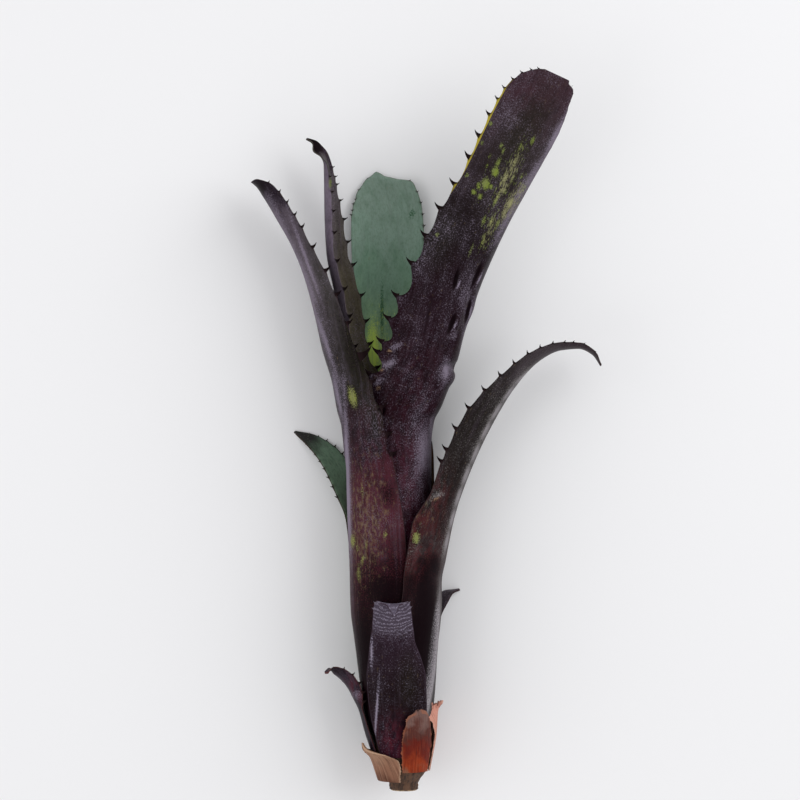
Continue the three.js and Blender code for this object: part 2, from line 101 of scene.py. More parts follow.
# The dark skin round a spine, in shares of its length along the margin, and in millimetres inward
THORN_SHARE = 0.3
THORN_TRAIL = 0.6
THORN_WIDTH = 0.6

# A spine's root stands out by a share of its length, and turns outward with a flared margin
ROOT_OUTSET = 0.08
FLARE_TURN = 0.6
FLARE_WIDTH = 3.2
FLARE_RISE = 15
FLARE_FALL = 25
NICK_LENGTH = 0.9
HOOK_MATCH = 0.1

# Slow waves in a grown surface: how many, their lengths along and across, and the calm margin
RIPPLE_WAVES = 7
RIPPLE_LENGTHS = (14, 60)
RIPPLE_WIDTHS = (7, 26)
RIPPLE_CALM = 5

# Torn edges of dry sheaths: coarse and fine steps, and the teeth at the upper end
TEAR_STEP = 1.6
TEAR_COARSE = (-1, 0.2)
TEAR_FINE = (-0.35, 0.35)
FRAY_TEETH = (-2.6, 0.8)
FRAY_LENGTH = 6

# Keep the random draws of tears and teeth apart
TEAR_DRAW = 7
FRAY_DRAW = 13

# A leaf lower than the flat depth lies on the surface; up to some times that depth it is drawn down
FLAT_DEPTH = 0.52
PRESS_REACH = 3

# How a spot fades outward, and how far a skin has to face up to carry dents and marks
SPOT_FADE = 0.7
SPOT_FIRMNESS = 1.2
DENT_FACING = (-0.25, 0.1)
MARK_FACING = (-0.3, 0)

# The horn, one spine of length 1: its foot, and steps of forward, outward and how much narrower it gets
HORN_SIDES = 10
HORN_RADIUS = 0.3
HORN_FOOT = (-0.06, 0, -0.25)
HORN_FLATTENED = (1.45, 0.42, 1)
HORN_STEPS = (
    (0.04, 0.25, 0.72), (0.06, 0.22, 0.74), (0.09, 0.22, 0.74),
    (0.12, 0.20, 0.70), (0.13, 0.16, 0.58), (0.10, 0.10, 0.25),
)
HORN_FOOT_DARK = 0.7
HORN_DARKENS = (-0.2, 0.3)

# Leaf scars on the stem: from which radius and height on, and what still counts as its rim
SCARS_FROM_RADIUS = 4
SCARS_FROM_HEIGHT = 0.2
RIM_MATCH = 0.01

# Edges sharper than these angles, in degrees, stay sharp
LEAF_CREASE = 50
STEM_CREASE = 40

# Keeps the patterns of a leaf's two skins apart
SKIN_STEP = 40

# The stem's lowest x in the plant's own coordinates, which ties them to the frame
STEM_LEFT = -8.672

# The camera over the plant, the pixels along a side of the picture, and those to a millimetre of floor
SQUARE_PIXELS = 800
CAMERA_HEIGHT = 1220.0
CAMERA_AIM = (1.6, 156.0)
SCALE_AT_FLOOR = 2.459

# Rows of a height and the x of the tube's axis, or the tube's outer radius, there
TUBE_AXIS = [(0, 3.2), (12, 2.2), (36, 0.4), (56, -0.4), (80, -0.7), (128, -2.2), (144, -2.2), (176, -3)]
TUBE_RADIUS = [
    (0, 7.6), (8, 9.8), (14, 11.5), (20, 13.1), (28, 14.9), (36, 16.3),
    (46, 17.5), (56, 18.4), (68, 19.9), (74, 20.4), (176, 20.4),
]

Point = tuple[float, float, float]
Colour = tuple[float, float, float]
Stops = tuple[tuple[float, Colour], ...]
Socket = bpy.types.NodeSocket
Value = Socket | float | Colour


class Skin(Enum):
    """The two sides of a leaf."""

    OUTER = 0.0
    INNER = 1.0


class Side(Enum):
    """The two margins of a leaf, by the angle round the tube."""

    LOW = -1
    HIGH = 1


class Mark(Enum):
    """The kinds of marks on a leaf's upward face: the attribute that holds each, and its place there."""

    LIME = ("marks_spots", 0)
    # Scurf, which where it is strong also carries a painted sheen and painted highlights
    SILVER = ("marks_spots", 1)
    DARK = ("marks_spots", 2)
    LIME_ZONE = ("marks_zones", 0)
    TAN_ZONE = ("marks_zones", 1)
    RED_ZONE = ("marks_zones", 2)
    LIME_RIM = ("marks_tints", 0)
    TAN = ("marks_tints", 1)
    OLIVE_ZONE = ("marks_tints", 2)


class Grain(Enum):
    """The patterns on a leaf: grains to a millimetre across and along, detail and roughness."""

    CLOUDS = (0.11, 0.05, 3, 0.5)
    PATCHES = (0.34, 0.16, 4, 0.6)
    STREAKS = (0.7, 0.03, 3, 0.6)
    SPECKS = (2.3, 1.6, 3, 0.7)
    FINE = (1.3, 0.7, 4, 0.7)
    MOTTLE = (0.8, 0.36, 4, 0.6)
    GATHERED = (0.5, 0.3, 4, 0.65)
    WARP = (0.35, 0.35, 3, 0.5)
    FLECKS = (2.1, 0.42, 3, 0.6)
    VEINS = (1.9, 0.02, 2, 0.5)
    FIBRES = (1.6, 0.06, 4, 0.65)
    BLOTS = (0.22, 0.16, 3, 0.5)
    PAPER = (3, 1.2, 2, 0.5)


def hue(red: int, green: int, blue: int) -> Colour:
    """Turns a colour of 0 to 255 parts into the linear colour that a shader takes."""
    parts = [part / 255 for part in (red, green, blue)]
    return tuple(p / 12.92 if p <= 0.04045 else ((p + 0.055) / 1.055) ** 2.4 for p in parts)


def shades(*stops: tuple[float, int, int, int]) -> Stops:
    """Turns rows of a place from foot to tip and a colour of 0 to 255 parts into a ramp's stops."""
    return tuple((place, hue(*parts)) for place, *parts in stops)


def smooth_step(values: np.ndarray, low: float, high: float) -> np.ndarray:
    """Rises smoothly from 0 at low to 1 at high."""
    share = np.clip((values - low) / (high - low), 0, 1)
    return share * share * (3 - 2 * share)


def read_table(table: np.ndarray, places: np.ndarray) -> np.ndarray:
    """Reads a table along smooth curves that never swing past its rows.

    Args:
        table: Rows whose first column is the place.
        places: Where to read it.

    Returns:
        The other columns at each place.
    """
    steps = np.diff(table, axis=0)
    rates = steps[:, 1:] / steps[:, :1]
    below, above = rates[:-1], rates[1:]
    total = np.where(below * above > 0, below + above, 1)
    inner = np.where(below * above > 0, 2 * below * above / total, 0)
    slopes = np.vstack([rates[:1], inner, rates[-1:]])
    at = np.clip(places, table[0, 0], table[-1, 0])
    row = np.clip(np.searchsorted(table[:, 0], at) - 1, 0, len(table) - 2)
    span = (table[row + 1, 0] - table[row, 0])[:, None]
    t = (at - table[row, 0])[:, None] / span
    mix = t * t * (3 - 2 * t)
    bend = slopes[row] * span * t * (1 - t) ** 2 + slopes[row + 1] * span * t * t * (t - 1)
    return table[row, 1:] * (1 - mix) + table[row + 1, 1:] * mix + bend


def tube_axis(heights: np.ndarray) -> np.ndarray:
    """Gives the x of the tube's axis at each height."""
    return read_table(np.array(TUBE_AXIS, float), heights)[:, 0]


def layer_radius(heights: np.ndarray, layer: float) -> np.ndarray:
    """Gives the outer radius of a layer of leaves at each height."""
    return read_table(np.array(TUBE_RADIUS, float), heights)[:, 0] - layer * LAYER_STEP


def plant_to_part(points: np.ndarray) -> np.ndarray:
    """Moves points from the plant's own coordinates to the frame, in metres."""
    low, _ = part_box("stem")
    return points * MM + np.array([low.x - STEM_LEFT * MM, low.y, 0.0])


def read_points(mesh: bpy.types.Mesh) -> np.ndarray:
    """Reads the places of a mesh's vertices.

    Args:
        mesh: The mesh.

    Returns:
        A row of three numbers for each vertex.
    """
    flat = np.empty(len(mesh.vertices) * 3, np.float32)
    mesh.vertices.foreach_get("co", flat)
    return flat.reshape(-1, 3).astype(float)


def move_points(mesh: bpy.types.Mesh, points: np.ndarray) -> None:
    """Moves a mesh's vertices to points in the plant's own coordinates."""
    mesh.vertices.foreach_set("co", plant_to_part(points).astype(np.float32).ravel())
    mesh.update()


def deselect_all() -> None:
    """Leaves nothing selected, so that an operator acts on its own piece alone."""
    bpy.ops.object.select_all(action="DESELECT")


def turn_faces_out() -> None:
    """Turns all faces of the active piece outward, and leaves it in object mode."""
    bpy.ops.object.mode_set(mode="EDIT")
    bpy.ops.mesh.select_all(action="SELECT")
    bpy.ops.mesh.normals_make_consistent(inside=False)
    bpy.ops.object.mode_set(mode="OBJECT")


def add_attribute(obj: bpy.types.Object, name: str, values: np.ndarray) -> None:
    """Stores three numbers for each vertex under a name that materials read."""
    layer = obj.data.attributes.new(name, "FLOAT_VECTOR", "POINT")
    layer.data.foreach_set("vector", values.astype(np.float32).ravel())


def picture_places(points: np.ndarray) -> np.ndarray:
    """Gives where the camera sees each point, in pixels of the square picture.

    Args:
        points: Points in the plant's own coordinates.

    Returns:
        Each point's place to the right and down.
    """
    scale = CAMERA_HEIGHT / (CAMERA_HEIGHT - points[:, 2]) * SCALE_AT_FLOOR
    right = SQUARE_PIXELS / 2 + (points[:, 0] - CAMERA_AIM[0]) * scale
    down = SQUARE_PIXELS / 2 - (points[:, 1] - CAMERA_AIM[1]) * scale
    return np.column_stack([right, down])


@dataclass(frozen=True)
class Spot:
    """An oval place on a leaf as the camera sees it, in pixels, for a mark, a dent or a ridge."""

    right: float
    down: float
    length: float
    width: float
    tilt: float = 0.0
    strength: float = 1.0

    def field(self, places: np.ndarray) -> np.ndarray:
        """Measures how deep each place lies in the spot.

        Args:
            places: Places in the picture.

        Returns:
            The strength at the middle, falling to nothing outside.
        """
        turn = math.radians(self.tilt)
        right, up = places[:, 0] - self.right, self.down - places[:, 1]
        along = (up * math.cos(turn) + right * math.sin(turn)) / self.length
        across = (right * math.cos(turn) - up * math.sin(turn)) / self.width
        return self.strength * np.exp(-SPOT_FADE * (along**2 + across**2) ** SPOT_FIRMNESS)


def strongest(spots: tuple[Spot, ...], places: np.ndarray) -> np.ndarray:
    """Takes the strongest of several spots at each place.

    Args:
        spots: The spots.
        places: Places in the picture.

    Returns:
        The strength at each place.
    """
    total = np.zeros(len(places))
    for spot in spots:
        total = np.maximum(total, spot.field(places))
    return total


@dataclass(frozen=True)
class Spine:
    """One spine: its distance from the leaf's foot, its length and the notch above it."""

    place: float
    length: float
    notch: float


@dataclass(frozen=True)
class SpineRule:
    """Where the spines of a margin stand, counted from the leaf's tip, and how long they are.

    Attributes:
        first: The first spine's distance from the tip.
        pitch: The step to the next spine near the tip.
        widest: The step between spines that are fully grown.
        grows: The distance from the tip where they are fully grown.
        length: A full spine's length.
        scallop: A full notch's depth.
        stop: The distance from the foot below which there are none.
    """

    first: float
    pitch: float
    widest: float
    grows: float
    length: float
    scallop: float
    stop: float

    def grown(self, from_tip: float) -> float:
        """Gives how far the spines have grown at a distance from the tip."""
        share = min(from_tip / self.grows, 1)
        return share * share * (3 - 2 * share)

    def places(self, end: float, shift: float) -> list[float]:
        """Lists the spines' distances from the tip when nothing sets them one by one.

        Args:
            end: The leaf's length.
            shift: How far the row of spines is moved on, in steps.

        Returns:
            The distances, the nearest to the tip first.
        """
        found = []
        from_tip = self.first + shift * self.pitch
        while end - from_tip > self.stop:
            found.append(from_tip)
            from_tip += self.pitch + (self.widest - self.pitch) * self.grown(from_tip)
        return found

    def spines(self, end: float, places: Sequence[float]) -> list[Spine]:
        """Lists the spines of one margin from the foot to the tip.

        Args:
            end: The leaf's length.
            places: The spines' distances from the tip, the nearest first.

        Returns:
            The spines, the one nearest the foot first.
        """
        found = []
        for from_tip, before in zip(places, (0.0, *places)):
            deepened = min(1, max(0, (from_tip - NOTCH_DEEPENS_AT) / NOTCH_DEEPENS_OVER))
            deep = NOTCH_LEAST + (1 - NOTCH_LEAST) * deepened
            notch = self.scallop * (from_tip - before) / self.widest * deep
            length = self.length * (SPINE_LEAST + (1 - SPINE_LEAST) * self.grown(from_tip))
            found.insert(0, Spine(end - from_tip, length, notch))
        return found

    def reach(self, along: np.ndarray, spines: list[Spine], share: float) -> np.ndarray:
        """Gives how far the margin stands past its plain line.

        Args:
            along: Distances from the foot.
            spines: The margin's spines.
            share: How much of their full size these spines have.

        Returns:
            The reach, which drops into a notch above each spine and rises slowly to the next.
        """
        reach = np.zeros(len(along))
        for spine, after in zip(spines, spines[1:]):
            rise = np.clip((along - spine.place) / (after.place - spine.place), 0, 1)
            reach -= spine.notch * np.sin(np.pi * rise**NOTCH_LEAN) ** NOTCH_FULLNESS
        for spine in spines:
            gap = along - spine.place
            below, above = MOUND_BELOW * spine.length, MOUND_ABOVE * spine.length
            reach += MOUND_HEIGHT * spine.length * np.exp(np.where(gap < 0, gap / below, -gap / above))
        return reach * share


@dataclass(frozen=True)
class Looks:
    """The marks and forms that one leaf carries on its upward face.

    Attributes:
        marks: The spots of each kind of mark.
        dents: Spots that sink in, or stand out where their strength is below zero.
        ripple: How uneven the surface is.
        torn: How torn a dry sheath's edges are, and 0 for a living leaf.
        seed: The start of this leaf's own random draws.
    """

    marks: dict[Mark, tuple[Spot, ...]] = field(default_factory=dict)
    dents: tuple[Spot, ...] = ()
    ripple: float = 0.05
    torn: float = 0.0
    seed: int = 1


@dataclass
class Leaf:
    """One leaf as a thin closed body with its spines.

    In the tube it follows a layer from its foot to where it leaves. Above that it follows its blade.

    Attributes:
        name: The CAD node that it stands for.
        finish: Its material.
        layer: Its place in the tube, counted from the outside.
        midrib: The angle of its midrib round the tube.
        foot: The height of its foot.
        leaves: The height where it leaves the tube.
        wrap: Rows of a height and the angles of the two margins there.
        blade: Rows of x, height, z, face, curl, low width and high width.
        spines: The rule for both margins' spines.
        columns: The columns of its grid.
        ramp: The distance over which it turns from the tube's direction to its own.
        row_step: The step between rows in the blade.
        tube_row_step: The step between rows in the tube.
        thickness: Its thickness at the midrib.
        low_spines: The share of their full size that the low margin's spines have.
        high_spines: The same for the high margin.
        flare: How far the high margin turns outward, and from which distance to which.
        places: Distances of spines from the tip, where the rule doesn't set them.
        nick: The distance from the tip of one more notch in the low margin, and its depth.
        hook: The distance from the tip of one larger spine, and how many times larger it is.
        looks: What it carries on its upward face.
    """

    name: str
    finish: "LeafFinish"
    layer: float
    midrib: float
    foot: float
    leaves: float
    wrap: list[tuple[float, float, float]]
    blade: list[tuple[float, ...]]
    spines: SpineRule
    columns: int
    ramp: float = FRAME_RAMP
    row_step: float = BLADE_ROW_STEP
    tube_row_step: float = TUBE_ROW_STEP
    thickness: float = LEAF_THICKNESS
    low_spines: float = 1.0
    high_spines: float = 1.0
    flare: tuple[float, float, float] = (0.0, 0.0, 0.0)
    places: dict[Side, tuple[float, ...]] = field(default_factory=dict)
    nick: tuple[float, float] = (0.0, 0.0)
    hook: tuple[float, float] = (0.0, 1.0)
    looks: Looks = field(default_factory=Looks)

    def tube_stations(self) -> np.ndarray:
        """Gives the stations in the tube.

        Returns:
            Rows like the blade's, about one station step apart.
        """
        steps = round((self.leaves - self.foot) / STATION_STEP)
        heights = np.linspace(self.foot, self.leaves, steps + 1)
        radius = layer_radius(heights, self.layer)
        angles = read_table(np.array(self.wrap, float), heights)
        turn = math.radians(self.midrib)
        low = radius * np.radians(self.midrib - angles[:, 0])
        high = radius * np.radians(angles[:, 1] - self.midrib)
        x = tube_axis(heights) + radius * math.cos(turn)
        z = BELLY_RADIUS + radius * math.sin(turn)
        face = np.full(len(heights), self.midrib)
        return np.column_stack([x, heights, z, face, radius, low, high])

    def measure(self) -> None:
        """Sets the table of stations behind their distance from the foot, and the leaf's length."""
        tube = self.tube_stations()
        stations = np.vstack([tube, np.array(self.blade, float)])
        steps = np.linalg.norm(np.diff(stations[:, :3], axis=0), axis=1)
        along = np.concatenate([[0], np.cumsum(steps)])
        self.table = np.column_stack([along, stations])
        self.leaves_at = along[len(tube) - 1]
        self.end = along[-1]

    def frames(self, along: np.ndarray) -> dict[str, np.ndarray]:
        """Gives the leaf's place, directions and widths.

        Args:
            along: Distances from the foot.

        Returns:
            The midrib's points, the directions along, across and out, the curl and the widths.
        """
        x, height, z, face, curl, low, high = read_table(self.table, along).T
        before = read_table(self.table, np.maximum(along - AIM_STEP, 0))[:, :3]
        after = read_table(self.table, np.minimum(along + AIM_STEP, self.end))[:, :3]
        run = after - before
        run /= np.linalg.norm(run, axis=1)[:, None]
        free = smooth_step(along, self.leaves_at, self.leaves_at + self.ramp)[:, None]
        up = np.array([0.0, 1.0, 0.0]) * (1 - free) + run * free
        up /= np.linalg.norm(up, axis=1)[:, None]
        turn = np.radians(face)
        side = np.column_stack([-np.sin(turn), 0 * turn, np.cos(turn)])
        side -= up * (side * up).sum(1)[:, None]
        side /= np.linalg.norm(side, axis=1)[:, None]
        return {
            "middle": np.column_stack([x, height, z]), "up": up, "side": side, "out": np.cross(up, side),
            "curl": curl, "low": low, "high": high,
        }

    def skin_points(
        self, frames: dict[str, np.ndarray], across: np.ndarray, depth: np.ndarray
    ) -> tuple[np.ndarray, np.ndarray]:
        """Places points on the leaf.

        Args:
            frames: The leaf's frames, one for each point.
            across: Each point's distance from the midrib.
            depth: Each point's depth below the outer skin.

        Returns:
            The points, and the outward direction at each.
        """
        turn = (across / frames["curl"])[:, None]
        reach = (frames["curl"] - depth)[:, None]
        normal = frames["side"] * np.sin(turn) + frames["out"] * np.cos(turn)
        points = frames["middle"] + normal * reach - frames["out"] * frames["curl"][:, None]
        return points, normal

    def rows(self) -> np.ndarray:
        """Lists the distances of the grid's rows: wide in the tube, close in the blade and the tip.

        Returns:
            The rows' distances from the foot.
        """
        tube = np.linspace(0, self.leaves_at, max(LEAST_ROWS, round(self.leaves_at / self.tube_row_step)))
        length = self.end - self.leaves_at
        count = round(length / self.row_step)
        share = np.arange(1, count + 1) / count
        crowded = share * (1 + ROW_CROWDING - ROW_CROWDING * share)
        return np.concatenate([tube, self.leaves_at + length * crowded])

    def slab(self, rows: int) -> bpy.types.Object:
        """Adds a flat grid with the leaf's rows and columns, and thickens it to one unit.

        Args:
            rows: The grid's steps from foot to tip.

        Returns:
            The slab.
        """
        deselect_all()
        bpy.ops.mesh.primitive_grid_add(x_subdivisions=self.columns, y_subdivisions=rows, size=1)
        piece = bpy.context.object
        piece.name = piece.data.name = self.name + "_fine"
        modifier = piece.modifiers.new("Thickness", "SOLIDIFY")
        modifier.thickness = 1
        modifier.offset = -1
        bpy.ops.object.modifier_apply(modifier=modifier.name)
        return piece

    def ripples(self, across: np.ndarray, along: np.ndarray) -> np.ndarray:
        """Gives the slow unevenness of a grown surface.

        Args:
            across: Distances from the midrib.
            along: Distances from the foot.

        Returns:
            The height of the ripples at each place.
        """
        random = np.random.default_rng(self.looks.seed)
        total = np.zeros(len(along))
        for _ in range(RIPPLE_WAVES):
            lengthwise = random.uniform(*RIPPLE_LENGTHS)
            crosswise = random.uniform(*RIPPLE_WIDTHS)
            phase = random.uniform(0, 2 * np.pi, 2)
            along_wave = np.sin(along / lengthwise * 2 * np.pi + phase[0])
            total += along_wave * np.sin(across / crosswise * 2 * np.pi + phase[1])
        return total * self.looks.ripple / 2

    def shape(self, piece: bpy.types.Object, rows: np.ndarray) -> None:
        """Bends the flat slab into the leaf and stores what its finish reads.

        Args:
            piece: The slab.
            rows: The distance of each row of the slab from the leaf's foot.
        """
        # The slab is one unit wide, long and thick, with its outer skin at height 0
        flat = read_points(piece.data)
        row = np.rint((flat[:, 1] + 0.5) * (len(rows) - 1)).astype(int)
        inner = flat[:, 2] < -0.5
        even = 2 * (0.5 - flat[:, 0]) - 1
        spread = ((1 - COLUMN_CROWDING) * even + COLUMN_CROWDING * np.sin(np.pi / 2 * even) + 1) / 2

        frames = {key: value[row] for key, value in self.frames(rows).items()}
        low, high = frames["low"], frames["high"]
        across, thorn = self.cut_margins(-low + (low + high) * spread, rows, row, frames)
        along = rows[row] + self.ragged_end(spread, rows[row])
        edge = np.minimum(across + low, high - across)
        thick = self.thick(even, spread) * np.where(row == len(rows) - 1, TIP_SHARE, 1)
        depth = np.where(inner, thick, 0)
        points, normal = self.skin_points(frames, across, depth)
        points += frames["up"] * (along - rows[row])[:, None]

        push = self.ripples(across, along) * smooth_step(edge, 0, RIPPLE_CALM)
        push += self.flared(along) * np.exp(-((np.maximum(high - across, 0) / FLARE_WIDTH) ** 2))
        if self.looks.dents:
            surface, _ = self.skin_points(frames, across, 0 * depth)
            places = picture_places(surface)
            dents = sum(spot.field(places) for spot in self.looks.dents)
            push -= dents * smooth_step(normal[:, 2], *DENT_FACING)
        points += normal * push[:, None]
        self.press(points, normal, depth)
        move_points(piece.data, points)

        skin = np.where(inner, Skin.INNER.value, Skin.OUTER.value)
        add_attribute(piece, "leaf_place", np.column_stack([across, along, skin]))
        add_attribute(piece, "leaf_edges", np.column_stack([edge, thorn, along / self.end]))
        facing = normal[:, 2] * np.where(inner, -1, 1)
        self.store_marks(piece, picture_places(points), smooth_step(facing, *MARK_FACING))

    def cut_margins(
        self, across: np.ndarray, rows: np.ndarray, row: np.ndarray, frames: dict[str, np.ndarray]
    ) -> tuple[np.ndarray, np.ndarray]:
        """Cuts the notches and tears of both margins, and finds the dark skin round each spine.

        Args:
            across: Each vertex's distance from the midrib.
            rows: The distance of each row from the leaf's foot.
            row: Each vertex's row.
            frames: The leaf's frames, one for each vertex.

        Returns:
            The new distances from the midrib, and how dark the skin is for a spine, from 0 to 1.
        """
        along = rows[row]
        thorn = np.zeros(len(along))
        for side in Side:
            spines, size = self.margin_spines(side)
            width = self.width(frames, side)
            inset = width - side.value * across
            reach = self.spines.reach(rows, spines, size)[row] + self.tear(rows, side)[row]
            if side is Side.LOW:
                from_nick = (self.end - self.nick[0] - along) / NICK_LENGTH
                reach = reach - self.nick[1] * np.exp(-(from_nick**2))
            slim = np.clip(width / SLIM_WIDTH, 0, 1)
            depth = np.minimum(NOTCH_REACH, NOTCH_REACH_SHARE * width + LEAST_REACH)
            across = across + side.value * reach * slim * np.exp(-((inset / depth) ** 2))
            by_edge = np.exp(-((inset / THORN_WIDTH) ** 2))
            for spine in spines:
                gap = (along - spine.place) / spine.length
                close = np.exp(-((gap / THORN_SHARE) ** 2))
                close += THORN_TRAIL * np.exp(-(((gap - THORN_SHARE) / THORN_SHARE) ** 2))
                thorn = np.maximum(thorn, np.minimum(close, 1) * by_edge * slim * size)
        return across, thorn

    def width(self, frames: dict[str, np.ndarray], side: Side) -> np.ndarray:
        """Gives the distance from the midrib to one margin."""
        return frames["low"] if side is Side.LOW else frames["high"]

    def thick(self, even: np.ndarray, spread: np.ndarray) -> np.ndarray:
        """Gives the thickness from margin to margin, with a fine rim.

        Args:
            even: Each column's place, from -1 to 1.
            spread: Each vertex's share of the way from the low to the high margin.

        Returns:
            The thickness at each vertex.
        """
        share = np.abs(2 * spread - 1) ** THINS_LATE
        thick = self.thickness * (1 - share) + MARGIN_THICKNESS * self.thickness / LEAF_THICKNESS * share
        columns_in = np.clip(1 - np.abs(even), 0, 1) * self.columns / 2
        by_rim = np.where(columns_in < 1.5, BY_RIM_SHARE, 1)
        return thick * np.where(columns_in < 0.5, RIM_THICKNESS / MARGIN_THICKNESS, by_rim)

    def flared(self, along: np.ndarray) -> np.ndarray:
        """Gives how far the high margin turns outward, which it does between two distances.

        Args:
            along: Distances from the foot.

        Returns:
            The distance that it is turned out by at each.
        """
        amount, low, high = self.flare
        if not amount:
            return np.zeros(len(along))
        rise = smooth_step(along, low, low + FLARE_RISE)
        return amount * rise * smooth_step(along, high, high - FLARE_FALL)

    def margin_spines(self, side: Side) -> tuple[list[Spine], float]:
        """Lists the spines of one margin.

        Args:
            side: The margin.

        Returns:
            The spines, and how much of their full size they have.
        """
        shift, size = (0, self.low_spines) if side is Side.LOW else (0.5, self.high_spines)
        places = self.places.get(side) or self.spines.places(self.end, shift)
        return self.spines.spines(self.end, places), size

    def store_marks(self, piece: bpy.types.Object, places: np.ndarray, upward: np.ndarray) -> None:
        """Stores the strength of each kind of mark where the leaf looks up.

        Args:
            piece: The leaf.
            places: Where the camera sees each vertex.
            upward: How far each vertex faces up.
        """
        for name in sorted({mark.value[0] for mark in Mark}):
            values = np.zeros((len(places), 3))
            for mark in Mark:
                if mark.value[0] == name and mark in self.looks.marks:
                    values[:, mark.value[1]] = strongest(self.looks.marks[mark], places) * upward
            add_attribute(piece, name, values)

    def press(self, points: np.ndarray, normal: np.ndarray, depth: np.ndarray) -> None:
        """Presses what would reach the surface flat onto it, both skins alike.

        Args:
            points: The leaf's points, which are moved.
            normal: The outward direction at each.
            depth: Each point's depth below the outer skin.
        """
        outer = points[:, 2] + normal[:, 2] * depth
        low = (outer < PRESS_REACH * FLAT_DEPTH) & (normal[:, 2] < 0)
        pressed = np.maximum(0, PRESS_REACH / (PRESS_REACH - 1) * (outer - FLAT_DEPTH))
        points[:, 2] += np.where(low, pressed - outer, 0)
        points[:, 2] = np.maximum(points[:, 2], 0)

    def tear(self, rows: np.ndarray, side: Side) -> np.ndarray:
        """Gives the torn unevenness of a dry margin, or nothing on a living leaf.

        Args:
            rows: The distance of each row from the leaf's foot.
            side: The margin.

        Returns:
            How far the margin stands out in each row.
        """
        if not self.looks.torn:
            return np.zeros(len(rows))
        random = np.random.default_rng(self.looks.seed * TEAR_DRAW + side.value)
        knots = np.arange(0, self.end + 2, TEAR_STEP)
        coarse = np.interp(rows, knots, random.uniform(*TEAR_COARSE, len(knots)))
        return self.looks.torn * (coarse + random.uniform(*TEAR_FINE, len(rows)))

    def ragged_end(self, spread: np.ndarray, along: np.ndarray) -> np.ndarray:
        """Frays the upper end of a dry sheath, and leaves a living leaf as it is.

        Args:
            spread: Each vertex's share of the way from the low to the high margin.
            along: Each vertex's distance from the foot.

        Returns:
            How far each vertex moves up.
        """
        if not self.looks.torn:
            return np.zeros(len(along))
        random = np.random.default_rng(self.looks.seed * FRAY_DRAW)
        teeth = random.uniform(*FRAY_TEETH, self.columns + 1)
        column = np.clip(np.rint(spread * self.columns), 0, self.columns).astype(int)
        return self.looks.torn * teeth[column] * smooth_step(along, self.end - FRAY_LENGTH, self.end)

    def spine_seats(self, side: Side) -> list[tuple]:
        """Finds where the spines of one margin sit.

        Args:
            side: The margin.

        Returns:
            For each spine its root, the directions up the leaf, off its face and outward, and its length.
        """
        spines, size = self.margin_spines(side)
        if not spines or not size:
            return []
        along = np.array([spine.place for spine in spines])
        frames = self.frames(along)
        width = self.width(frames, side)
        lengths = np.array([spine.length for spine in spines]) * np.clip(width / SLIM_WIDTH, 0, 1) * size
        if side is Side.LOW:
            hooked = np.abs(self.end - along - self.hook[0]) < HOOK_MATCH
            lengths = np.where(hooked, lengths * self.hook[1], lengths)
        middle = np.full(len(along), MARGIN_THICKNESS / 2)
        points, normal = self.skin_points(frames, side.value * (width + ROOT_OUTSET * lengths), middle)
        outward = np.cross(frames["up"], normal) * -side.value
        if side is Side.HIGH and self.flare[0]:
            turned = self.flared(along)[:, None]
            points += normal * turned
            outward = outward + normal * turned * FLARE_TURN
            outward /= np.linalg.norm(outward, axis=1)[:, None]
            normal = np.cross(outward * -side.value, frames["up"])
        self.press(points, normal, middle)
        return list(zip(points, frames["up"], normal, outward, lengths))

    def add_spines(self, piece: bpy.types.Object, horn: bpy.types.Object) -> None:
        """Copies the horn to each place along both margins and joins the copies to the leaf.

        Args:
            piece: The shaped leaf.
            horn: The one spine that the copies are made from, of length 1 along Z.
        """
        copies = []
        for root, up, off, away, length in self.spine_seats(Side.LOW) + self.spine_seats(Side.HIGH):
            copy = horn.copy()
            copy.data = horn.data.copy()
            axes = Matrix([up, off, away]).transposed() * (length * MM)
            copy.data.transform(Matrix.Translation(Vector(plant_to_part(root))) @ axes.to_4x4())
            bpy.context.collection.objects.link(copy)
            copies.append(copy)
        deselect_all()
        for chosen in (*copies, piece):
            chosen.select_set(True)
        bpy.context.view_layer.objects.active = piece
        if copies:
            bpy.ops.object.join()

    def build(self, horn: bpy.types.Object) -> bpy.types.Object:
        """Makes the leaf, dresses it and lets it stand for its CAD node.

        Args:
            horn: The one spine that its spines are copied from.

        Returns:
            The finished leaf.
        """
        self.measure()
        rows = self.rows()
        piece = self.slab(len(rows) - 1)
        self.shape(piece, rows)
        self.add_spines(piece, horn)
        turn_faces_out()
        bpy.ops.object.shade_smooth_by_angle(angle=math.radians(LEAF_CREASE))
        piece.data.materials.clear()
        piece.data.materials.append(self.finish.material())
        place_on_frame(piece, self.name)
        return piece


def place_on_frame(piece: bpy.types.Object, node: str) -> None:
    """Rides a piece on the plant's one body in place of its CAD node.

    Args:
        piece: The finished piece.
        node: The name of its CAD node.
    """
    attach(piece, "root")
    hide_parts(node)


